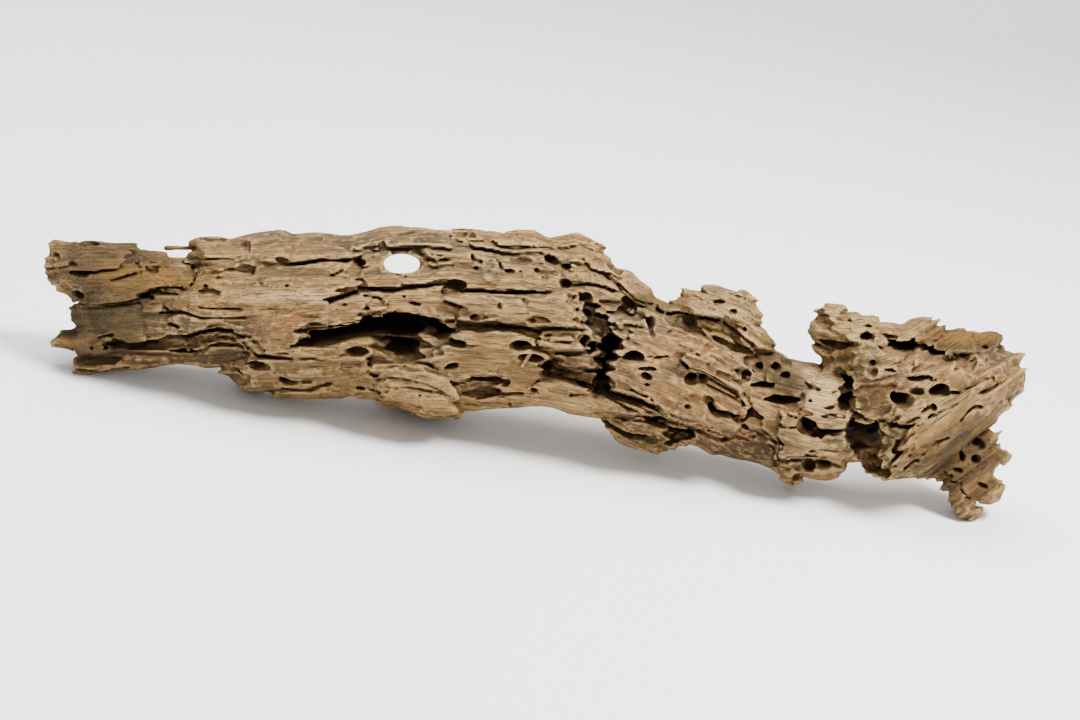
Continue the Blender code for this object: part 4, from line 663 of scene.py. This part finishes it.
# Hollows lean upwards as they go in. Their walls flare, and their floors slope up to the wall.
LEAN = 0.35
MARGIN = 8
HOLLOW_FLARE = 0.12
FLARE_DEPTH = 12
FLOOR_SLOPE = 9
HOLLOW_UNEVEN = 0.9
skin = skin_depth(wood)
for number, (depth, outline) in enumerate(HOLLOWS):
    spread = np.array(outline)
    low, high = spread.min(axis=0) - MARGIN, spread.max(axis=0) + (MARGIN, MARGIN + LEAN * depth)
    window = window_around((*low, BOX_Z[0]), (*high, BOX_Z[1]))
    wx, wy, wz = crop(window)
    sunk = skin[window[:2]][:, :, None] - wz
    shift_x, shift_y = torn_x[window[:2]][:, :, None], torn_y[window[:2]][:, :, None]
    uneven = HOLLOW_UNEVEN * noise(40 + number, wx / 9, wy / 4, wz / 5)
    wall = inside(outline, shift_x, shift_y - LEAN * np.clip(sunk, 0, None))
    wall = (wall + HOLLOW_FLARE * np.clip(sunk, 0, FLARE_DEPTH) + uneven).astype(np.float32)
    floor = depth * step(0.35 + wall / FLOOR_SLOPE) + uneven
    wood[window] = np.maximum(wood[window], np.minimum(wall, floor - sunk))

# Cracks that drying and wear opened between the layers lean upwards too, and close as they go in.
CRACK_MARGIN = 4
CRACK_CLOSES = 0.05
for number, (half_width, depth, line) in enumerate(CRACKS):
    spread = np.array(line)
    low = spread.min(axis=0) - CRACK_MARGIN
    high = spread.max(axis=0) + (CRACK_MARGIN, CRACK_MARGIN + LEAN * depth)
    window = window_around((*low, BOX_Z[0]), (*high, BOX_Z[1]))
    wx, wy, wz = crop(window)
    sunk = skin[window[:2]][:, :, None] - wz
    shift_x, shift_y = calm_x[window[:2]][:, :, None], calm_y[window[:2]][:, :, None]
    width = half_width * (1.2 + 0.5 * noise(80 + number, wx / 8, wy / 4))
    width = width - CRACK_CLOSES * np.abs(sunk)
    gap = near_path(line, shift_x, shift_y - LEAN * np.clip(sunk, 0, None)) - width
    wood[window] = np.maximum(wood[window], np.minimum(-gap, depth - sunk).astype(np.float32))


# A borer's gallery is a tube a little wider at its mouth. Only those as deep as THROUGH go right
# through the branch: they widen towards the back, and wear has made their walls even.
THROUGH = 100.0
THROUGH_WIDENS = 0.012
MOUTH_WIDENS = 0.3
MOUTH_DEPTH = 1.4
UNEVEN, UNEVEN_THROUGH = 0.28, 0.06
AHEAD = 8


def bore(number, start, heading, side, long_half, short_half, depth):
    """Bore one gallery from the skin inwards, its mouth's long way turned to one side."""
    reach = max(depth, long_half) + AHEAD
    window = window_around([v - reach for v in start], [v + reach for v in start])
    rel = [place - origin for place, origin in zip(crop(window), start)]
    sunk = sum(part * way for part, way in zip(rel, heading))
    long_way = (side - heading * side.dot(heading)).normalized()
    short_way = heading.cross(long_way)
    mouth = 1 + MOUTH_WIDENS * np.exp(-np.abs(sunk) / MOUTH_DEPTH)
    if depth > THROUGH:
        mouth = mouth + THROUGH_WIDENS * np.clip(sunk, 0, None)
    u = sum(part * way for part, way in zip(rel, long_way)) / long_half / mouth
    v = sum(part * way for part, way in zip(rel, short_way)) / short_half / mouth
    end = np.maximum(sunk - depth + short_half, 0) / short_half
    uneven = UNEVEN_THROUGH if depth > THROUGH else UNEVEN
    uneven = uneven * noise(70, rel[0] / 6 + number, rel[1] / 3.5 + number, rel[2] / 5)
    gallery = (np.sqrt(u * u + v * v + end * end) - 1 + uneven) * short_half
    gallery = np.where(sunk < -AHEAD, AHEAD, gallery)
    wood[window] = np.maximum(wood[window], -gallery)


LEAN_ASIDE = 0.35
for number, (cx, cy, long_half, short_half, turn, depth) in enumerate(GALLERIES):
    i, j = np.searchsorted(x.ravel(), cx), np.searchsorted(y.ravel(), cy)
    start = Vector((cx, cy, float(skin[i, j])))
    side = Vector((math.cos(math.radians(turn)), math.sin(math.radians(turn)), 0))
    heading = Vector((0, 0, -1))
    if depth < THROUGH:
        heading = Vector((LEAN_ASIDE * math.sin(cx), LEAN, -1)).normalized()
    bore(number, start, heading, side, long_half, short_half, depth)

# Slivers that tore loose at one end still bridge two of the openings (their two ends, half
# thickness and height over the skin).
SPLINTERS = [(-187, 56, -174, 56, 1.2, -6), (-4, 4.5, -9, -3, 0.9, 1.5)]
SPLINTER_MARGIN = 4
for ax, ay, bx, by, thick, rise in SPLINTERS:
    i, j = np.searchsorted(x.ravel(), bx), np.searchsorted(y.ravel(), by)
    window = window_around(
        (min(ax, bx) - SPLINTER_MARGIN, min(ay, by) - SPLINTER_MARGIN, BOX_Z[0]),
        (max(ax, bx) + SPLINTER_MARGIN, max(ay, by) + SPLINTER_MARGIN, BOX_Z[1]),
    )
    wx, wy, wz = crop(window)
    away = near_path([(ax, ay), (bx, by)], wx, wy)
    sliver = np.hypot(away, np.maximum(np.abs(wz - skin[i, j] - rise) - 2, 0)) - thick
    wood[window] = np.minimum(wood[window], sliver.astype(np.float32))


def edge_heights(along):
    """The outline's lowest and highest y at one x."""
    crossings = [
        ay + (by - ay) * (along - ax) / (bx - ax)
        for (ax, ay), (bx, by) in zip(OUTLINE, OUTLINE[1:] + OUTLINE[:1])
        if (ax <= along) != (bx <= along)
    ]
    return min(crossings), max(crossings)


RAY_LENGTH = 75.0


def skin_on_ray(axis, out):
    """The outermost place in the wood on a ray from the branch's axis."""
    for reach in np.arange(RAY_LENGTH, 0.0, -VOXEL):
        place = axis + out * reach
        index = [int(np.searchsorted(row.ravel(), value)) for row, value in zip(places, place)]
        if all(0 < i < n for i, n in zip(index, wood.shape)) and wood[tuple(index)] < 0:
            return place
    return axis


# Galleries on the top, the back and the underside: how many, where along and round the branch in
# degrees from the front, how far they lean along it, half width, depth and how much longer than wide
HIDDEN_SEED = 7
HIDDEN_GALLERIES = 46
HIDDEN_ALONG = (-240, 235)
HIDDEN_ROUND = (75, 285)
HIDDEN_LEAN = 0.7
HIDDEN_HALF_WIDTH = (2.4, 4.2)
HIDDEN_DEPTH = (9, 20)
HIDDEN_STRETCH = (1.2, 2.6)
HIDDEN_FIRST = 100
rng = np.random.default_rng(HIDDEN_SEED)
for number in range(HIDDEN_GALLERIES):
    along = rng.uniform(*HIDDEN_ALONG)
    angle = math.radians(rng.uniform(*HIDDEN_ROUND))
    out = Vector((0, math.sin(angle), math.cos(angle)))
    axis = Vector((along, 0.5 * sum(edge_heights(along)), float(at_station(MID_DEPTH, along))))
    start = skin_on_ray(axis, out)
    lean = Vector((rng.uniform(-HIDDEN_LEAN, HIDDEN_LEAN), 0, 0))
    heading = (lean - out).normalized()
    half_width = rng.uniform(*HIDDEN_HALF_WIDTH)
    depth = rng.uniform(*HIDDEN_DEPTH)
    long_half = half_width * rng.uniform(*HIDDEN_STRETCH)
    bore(HIDDEN_FIRST + number, start, heading, Vector((1, 0, 0)), long_half, half_width, depth)


def largest_skin(points, quads):
    """Keep the one largest closed skin, so that loose scraps go and sealed voids fill."""
    label = np.arange(len(points))
    while True:
        lowest = label[quads].min(axis=1)
        joined = label.copy()
        for side in range(4):
            np.minimum.at(joined, quads[:, side], lowest)
        joined = joined[joined]
        if np.array_equal(joined, label):
            break
        label = joined
    keep = label == np.bincount(label).argmax()
    index = np.cumsum(keep) - 1
    return points[keep], index[quads[keep[quads[:, 0]]]]


FAR = 3.0
grid = openvdb.FloatGrid(background=FAR)
grid.copyFromArray(np.clip(wood, -FAR, FAR))
points, _, quads = grid.convertToPolygons(isovalue=0.0, adaptivity=0.0)
points, quads = largest_skin(points * VOXEL + corner, quads)

# The layout is drawn as seen from the viewing distance, so nearer wood is drawn larger than it is.
# The wood then turns from the layout to the way it lies, and its lowest points come to the ground.
MM = 0.001
VIEW_DISTANCE = 900.0
PITCH = 20.0
ROLL = 9.5
ORIGIN = (4.5, -7.8, 45.4)
roll, pitch = math.radians(ROLL), math.radians(PITCH)
up = Vector((math.sin(roll) * math.cos(pitch), math.cos(roll) * math.cos(pitch), math.sin(pitch)))
right = (Vector((1, 0, 0)) - up * up.x).normalized()
rest = Matrix((right, up.cross(right), up))
turn = np.array(rest)

# Points that the form can spare are thinned out: more on the back, fewer on the face, and none round
# the opening that goes through.
TRIANGLES = 196000
FACE_WEIGHT, WEIGHT_FACTOR = 0.3, 0.0007
FACE_REACH, RIM_REACH = 6, 13
near_face = points[:, 2] > np.interp(points[:, 0], STATION_X, MID_DEPTH) - FACE_REACH
opening_x, opening_y = GALLERIES[0][:2]
rim = np.hypot(points[:, 0] - opening_x, points[:, 1] - opening_y) < RIM_REACH
points[:, :2] *= 1 - points[:, 2:] / VIEW_DISTANCE
points = (points @ turn.T + ORIGIN) * MM
mesh = bpy.data.meshes.new("honeycomb_wood_skin")
mesh.from_pydata(points.tolist(), [], quads.tolist())
rough = bpy.data.objects.new("rough", mesh)
bpy.context.scene.collection.objects.link(rough)
spare = rough.vertex_groups.new(name="spare")
spare.add(np.nonzero(~near_face)[0].tolist(), 1.0, "REPLACE")
spare.add(np.nonzero(near_face)[0].tolist(), FACE_WEIGHT, "REPLACE")
spare.add(np.nonzero(rim)[0].tolist(), 0.0, "REPLACE")
thin = rough.modifiers.new("thin", "DECIMATE")
thin.ratio = TRIANGLES / (2 * len(quads))
thin.vertex_group = "spare"
thin.vertex_group_factor = WEIGHT_FACTOR
graph = bpy.context.evaluated_depsgraph_get()
mesh = bpy.data.meshes.new_from_object(rough.evaluated_get(graph))
bpy.data.objects.remove(rough)

# The lowest points are worn flat where they rest, and torn edges stay sharp.
SHARP_DEGREES = 48
where = np.empty(3 * len(mesh.vertices), np.float32)
mesh.vertices.foreach_get("co", where)
where = where.reshape(-1, 3)
where[:, 2] = np.maximum(where[:, 2], 0)
mesh.vertices.foreach_set("co", where.ravel())
mesh.shade_smooth()
mesh.set_sharp_from_angle(angle=math.radians(SHARP_DEGREES))
branch = bpy.data.objects.new("worn_branch", mesh)
bpy.context.scene.collection.objects.link(branch)

# Stains on the face, where it is more bleached, and patches of painted shade: x, y, half width and half
# height
STAINS = {
    "golden": [(-200, 41, 24, 7), (-46, -20, 22, 7), (-30, -27, 18, 4), (215, 11, 12, 4),
               (-238, 9, 8, 3), (-170, 38, 20, 3)],
    "greyed": [(-130, 62, 50, 5), (-215, 52, 36, 12), (-205, 20, 34, 9), (-55, 8, 18, 6),
               (-218, 36, 34, 16), (-228, 8, 28, 8), (-25, 52, 44, 7), (218, 4, 26, 9),
               (122, -4, 22, 11), (170, -6, 22, 6), (66, -4, 30, 5),
               (-32, -17, 12, 6), (20, 8, 12, 14), (120, -6, 20, 6), (-110, 44, 34, 3),
               (30, 24, 10, 14), (-70, 57, 26, 4), (60, 18, 12, 6)],
    "reddened": [(-132, 16, 18, 10), (-60, 30, 26, 4), (4, 24, 22, 6), (60, 5, 20, 8),
                 (75, -20, 24, 8), (220, -8, 20, 8), (140, -26, 10, 4), (-230, 27, 14, 3)],
    "paled": [(-120, 32, 40, 5), (141, -18, 14, 16), (138, -44, 14, 6), (197, -28, 10, 6),
              (-13, 24, 32, 7), (-62, -14, 20, 8), (84, 26, 24, 7), (20, -24, 22, 5),
              (40, 52, 10, 8), (92, 20, 30, 6), (155, 18, 12, 8)],
    # These patches are painted shade over the left end, the right top, the leg, the neck and a patch in
    # the middle.
    "painted_shade": [(-208, 46, 40, 22), (-222, 20, 30, 22), (216, 14, 28, 14), (212, -50, 22, 22),
               (122, -2, 12, 22), (60, 30, 20, 6)],
    "bleached": [(141, -16, 13, 15), (134, -4, 9, 7), (196, -27, 8, 4), (-120, 31, 30, 3)],
    # These brown patches are partly a brown stain and partly painted shade under the plates, in the
    # valley and on the leg.
    "browned_and_shaded": [(-160, 12, 28, 5), (-190, -2, 44, 8), (33, -2, 8, 16), (52, -36, 24, 12),
                (78, -40, 22, 7), (108, -44, 22, 8), (215, -66, 14, 14), (165, -42, 12, 16),
                (-20, 17, 24, 2), (129, -12, 7, 9), (170, -22, 14, 10), (-155, -6, 16, 5),
                (-62, -30, 18, 3), (222, -50, 10, 12), (208, -60, 12, 10)],
}

# Each point keeps its place in the layout, along and across the fibres, and its depth below the
# branch's first skin, from which the finish takes its streaks and the painted shade of its insides.
layout = (where / MM - ORIGIN) @ turn
layout[:, :2] /= 1 - layout[:, 2:] / VIEW_DISTANCE
index = np.round((layout - corner) / VOXEL).astype(int)
index = np.clip(index, 0, np.array(wood.shape) - 1)
below = depth_below[index[:, 0], index[:, 1], index[:, 2]]
grain = layout.copy()
grain[:, 1] = across_fibres(layout[:, 0], layout[:, 1])
mesh.attributes.new("grain", "FLOAT_VECTOR", "POINT").data.foreach_set(
    "vector", grain.astype(np.float32).ravel()
)
mesh.attributes.new("below", "FLOAT", "POINT").data.foreach_set("value", below.astype(np.float32))


def mean_around(field, cells):
    """The mean of a field over a cube round each place."""
    for axis in range(3):
        total = np.cumsum(field, axis=axis, dtype=np.float32)
        field = np.roll(total, -cells, axis=axis) - np.roll(total, cells + 1, axis=axis)
        field = field / (2 * cells + 1)
    return field


# How much wood stands round a point, within 4 mm and within 1.6 mm, tells its hollows from its ridges,
# for the painted shade in hollows and furrows and the paler ridges.
solid = (wood < 0).astype(np.float32)
for name, cells in (("sheltered", 5), ("furrowed", 2)):
    cover = mean_around(solid, cells)[index[:, 0], index[:, 1], index[:, 2]]
    mesh.attributes.new(name, "FLOAT", "POINT").data.foreach_set("value", cover.astype(np.float32))
for kind, spots in STAINS.items():
    share = np.zeros(len(layout))
    for sx, sy, half_x, half_y in spots:
        away = np.hypot((layout[:, 0] - sx) / half_x, (layout[:, 1] - sy) / half_y)
        away = away + 0.4 * noise(90, layout[:, 0] / 12, grain[:, 1] / 3)
        share = np.maximum(share, step((1.25 - away) / 0.6))
    share = share * (layout[:, 2] > np.interp(layout[:, 0], STATION_X, MID_DEPTH))
    mesh.attributes.new(kind, "FLOAT", "POINT").data.foreach_set("value", share.astype(np.float32))
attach(branch, "root")
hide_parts("honeycomb_wood")


# Sun-bleached, water-worn tropical hardwood, dry and unsealed. Wear along the fibres leaves a dull
# surface of pale ridges, brightened further by a painted highlight, and furrows painted dark as shade;
# the tan turns grey where weather reaches it, and galleries and hollows are painted brown to nearly
# black, as painted shade over a little old borer dust.


def tone(code):
    """An sRGB hex colour as a linear one."""
    parts = [int(code[i:i + 2], 16) / 255 for i in (0, 2, 4)]
    return [p / 12.92 if p <= 0.04045 else ((p + 0.055) / 1.055) ** 2.4 for p in parts] + [1.0]


def add(tree, kind, settings=(), links=()):
    """Add a node, set its properties and sockets, and link its inputs."""
    node = tree.nodes.new(kind)
    for name, value in dict(settings).items():
        if isinstance(name, str) and hasattr(node, name):
            setattr(node, name, value)
        else:
            node.inputs[name].default_value = value
    for name, source in dict(links).items():
        tree.links.new(source, node.inputs[name])
    return node


TAN = tone("927144")      # dry heartwood
PALE = tone("C29E69")     # worn ridges, with a painted highlight on them, and pale patches
CHALK = tone("D0AF84")    # bleached smooth wood
GREY = tone("5C5036")     # weathered surface
SHADE_TINT = tone("D0CABA")     # painted shade laid over the left end, the right top, the leg and the neck
GOLD = tone("A87C38")     # freshly broken wood
RUST = tone("A26A40")     # reddish growth rings
BROWN_GRAIN_AND_SHADE = tone("45301F")    # grain lines and brown stains, and painted shade in furrows, sheltered places and hollows
GALLERY_SHADE = tone("120B06")     # painted shade deep inside the galleries
ROUGHNESS = 0.88
SPECULAR = 0.25

driftwood = bpy.data.materials.new("bleached_driftwood")
driftwood.use_nodes = True
tree = driftwood.node_tree
tree.nodes.clear()
grain_at = add(tree, "ShaderNodeAttribute", {"attribute_name": "grain"}).outputs["Vector"]

# Patterns drawn out along the fibres: length and width in millimetres, detail and roughness. The
# patches are 9 to 22 mm wide, as weather and growth rings leave them, and the furrows 1 mm. Vessels
# and fibres are drawn 0.45 mm wide, a few times their real width, as finer ones would not show.
PATTERNS = {
    "weathered": (70, 22, 3, 0.55),
    "broken": (48, 9, 3, 0.55),
    "ringed": (60, 12, 2, 0.55),
    "patchy": (45, 3.5, 4, 0.55),
    "streaks": (60, 1.0, 4, 0.65),
    "hairs": (70, 0.45, 2, 0.5),
    "fibres": (14, 0.45, 3, 0.6),
}
shown = {}
for name, (along, width, detail, rough) in PATTERNS.items():
    sizes = (1 / along, 1 / width, 1 / width)
    scaled = add(tree, "ShaderNodeVectorMath", {"operation": "MULTIPLY", 1: sizes}, {0: grain_at})
    noises = {"Scale": 1.0, "Detail": detail, "Roughness": rough}
    stretched = add(tree, "ShaderNodeTexNoise", noises, {"Vector": scaled.outputs[0]})
    shown[name] = stretched.outputs["Fac"]
for name in ("below", "furrowed", "sheltered", *STAINS):
    shown[name] = add(tree, "ShaderNodeAttribute", {"attribute_name": name}).outputs["Fac"]
outside_painted_shade = add(tree, "ShaderNodeMapRange", {"From Min": 1.25, "From Max": 0.0}, {"Value": shown["painted_shade"]})
shown["outside_painted_shade"] = outside_painted_shade.outputs["Result"]

# Coats of colour, each over the last: what shows the coat, the levels between which it comes in, how
# strong it is, what else limits it, and its colour
COATS_UNDER_FIBRES = [
    ("weathered", 0.46, 0.66, 1.0, None, GREY),
    ("broken", 0.60, 0.74, 1.0, None, GOLD),
    ("ringed", 0.62, 0.76, 1.0, None, RUST),
    ("patchy", 0.25, 0.6, 0.85, "greyed", GREY),
    ("patchy", 0.25, 0.6, 0.8, "golden", GOLD),
    ("patchy", 0.25, 0.6, 0.42, "reddened", RUST),
    ("patchy", 0.25, 0.6, 0.7, "paled", PALE),
    ("patchy", 0.25, 0.6, 0.9, "bleached", CHALK),
    # Brown patches: partly a brown stain, partly painted shade under the plates, in the valley and on
    # the leg.
    ("patchy", 0.25, 0.6, 0.7, "browned_and_shaded", BROWN_GRAIN_AND_SHADE),
    # Ridges are paler, as worn wood and as a painted highlight, except under the painted shade of the
    # darker patches.
    ("furrowed", 0.50, 0.30, 1.0, "outside_painted_shade", PALE),
    ("streaks", 0.50, 0.29, 1.0, None, BROWN_GRAIN_AND_SHADE),
    ("hairs", 0.42, 0.34, 1.0, None, BROWN_GRAIN_AND_SHADE),
]

# Painted shade over a little old dust: brown in furrows, in sheltered places and from 6 mm down, and
# nearly black from 8 to 18 mm down.
PAINTED_SHADE_COATS = [
    ("furrowed", 0.60, 0.82, 1.0, None, BROWN_GRAIN_AND_SHADE),
    ("sheltered", 0.62, 0.86, 1.0, None, BROWN_GRAIN_AND_SHADE),
    ("below", 6.0, 13.0, 1.0, None, BROWN_GRAIN_AND_SHADE),
    ("below", 8.0, 18.0, 1.0, None, GALLERY_SHADE),
]


def lay(colour, coats):
    """Lay coats of colour over one another."""
    for source, low, high, strength, limit, shade in coats:
        levels = {"From Min": low, "From Max": high, "To Max": strength}
        share = add(tree, "ShaderNodeMapRange", levels, {"Value": shown[source]}).outputs["Result"]
        if limit:
            both = {0: share, 1: shown[limit]}
            share = add(tree, "ShaderNodeMath", {"operation": "MULTIPLY"}, both).outputs[0]
        mixed = add(tree, "ShaderNodeMix", {"data_type": "RGBA", 7: shade}, {0: share, 6: colour})
        colour = mixed.outputs[2]
    return colour


heartwood = add(tree, "ShaderNodeRGB")
heartwood.outputs[0].default_value = TAN
colour = lay(heartwood.outputs[0], COATS_UNDER_FIBRES)
fibre_levels = {"From Min": 0.25, "From Max": 0.75, "To Min": 0.66, "To Max": 1.18}
fibre_shade = add(tree, "ShaderNodeMapRange", fibre_levels, {"Value": shown["fibres"]})
colour = add(tree, "ShaderNodeMix", {"data_type": "RGBA", "blend_type": "MULTIPLY", 0: 1.0},
             {6: colour, 7: fibre_shade.outputs["Result"]}).outputs[2]
colour = lay(colour, PAINTED_SHADE_COATS)
# Painted shade: the colour is multiplied darker over the left end, the right top, the leg and the neck.
painted_shade_share = add(tree, "ShaderNodeMapRange", {"From Max": 1.1}, {"Value": shown["painted_shade"]})
colour = add(tree, "ShaderNodeMix", {"data_type": "RGBA", "blend_type": "MULTIPLY", 7: SHADE_TINT},
             {0: painted_shade_share.outputs["Result"], 6: colour}).outputs[2]

# The furrows stand out by up to 1.5 mm.
furrows = add(tree, "ShaderNodeMath", {"operation": "ADD"},
              {0: shown["streaks"], 1: shown["fibres"]}).outputs[0]
bump = add(tree, "ShaderNodeBump", {"Strength": 0.9, "Distance": 0.0015}, {"Height": furrows})
shader = add(tree, "ShaderNodeBsdfPrincipled", {"Roughness": ROUGHNESS, "Specular IOR Level": SPECULAR},
             {"Base Color": colour, "Normal": bump.outputs["Normal"]})
add(tree, "ShaderNodeOutputMaterial", {}, {"Surface": shader.outputs[0]})
mesh.materials.append(driftwood)

# Plain pale surface that sweeps up behind the wood.
SWEEP_WIDTH, SWEEP_FRONT, SWEEP_BACK, SWEEP_RISE, SWEEP_RADIUS = 6.0, 3.0, 1.6, 2.6, 0.8
SWEEP_STEPS = 24
profile = [(-SWEEP_FRONT, 0.0)]
for i in range(SWEEP_STEPS + 1):
    angle = math.radians(90 * i / SWEEP_STEPS)
    climb = SWEEP_RADIUS * (1 - math.cos(angle))
    profile.append((SWEEP_BACK + SWEEP_RADIUS * math.sin(angle), climb))
profile.append((SWEEP_BACK + SWEEP_RADIUS, SWEEP_RISE))
corners = [(side * SWEEP_WIDTH / 2, a, b) for a, b in profile for side in (-1, 1)]
faces = [(2 * i, 2 * i + 1, 2 * i + 3, 2 * i + 2) for i in range(len(profile) - 1)]
sweep_mesh = bpy.data.meshes.new("sweep")
sweep_mesh.from_pydata(corners, [], faces)
sweep_mesh.shade_smooth()
sweep = bpy.data.objects.new("sweep", sweep_mesh)
bpy.context.scene.collection.objects.link(sweep)
paper = bpy.data.materials.new("matt_white_board")
paper.use_nodes = True
board = paper.node_tree.nodes["Principled BSDF"]
board.inputs["Base Color"].default_value = tone("FAFAF9")
board.inputs["Roughness"].default_value = 0.7
sweep_mesh.materials.append(paper)

# Camera at the viewing distance from the layout's middle, square to it.
lens = bpy.data.cameras.new("camera")
lens.lens, lens.sensor_width = 60.0, 36.0
camera = bpy.data.objects.new("camera", lens)
bpy.context.scene.collection.objects.link(camera)
at = (rest @ Vector((0, 0, VIEW_DISTANCE)) + Vector(ORIGIN)) * MM
camera.matrix_world = Matrix.Translation(at) @ rest.to_4x4()
bpy.context.scene.camera = camera


def soft_light(name, place, size, power, aim=(0, 0, 0.05)):
    """A large soft panel light, turned to a point."""
    lamp = bpy.data.lights.new(name, "AREA")
    lamp.shape, lamp.size, lamp.energy = "DISK", size, power
    panel = bpy.data.objects.new(name, lamp)
    panel.location = place
    panel.rotation_euler = (Vector(aim) - Vector(place)).to_track_quat("-Z", "Y").to_euler()
    bpy.context.scene.collection.objects.link(panel)


# A key light high on the right, a fill over the left, and pale walls all round
ROOM_STRENGTH = 0.80
soft_light("key", (0.7, -0.35, 1.5), 0.6, 70)
soft_light("top", (-0.4, 0.4, 1.7), 1.2, 36)
world = bpy.data.worlds.new("room")
bpy.context.scene.world = world
world.use_nodes = True
world.node_tree.nodes["Background"].inputs["Color"].default_value = tone("F4F6FA")
world.node_tree.nodes["Background"].inputs["Strength"].default_value = ROOM_STRENGTH
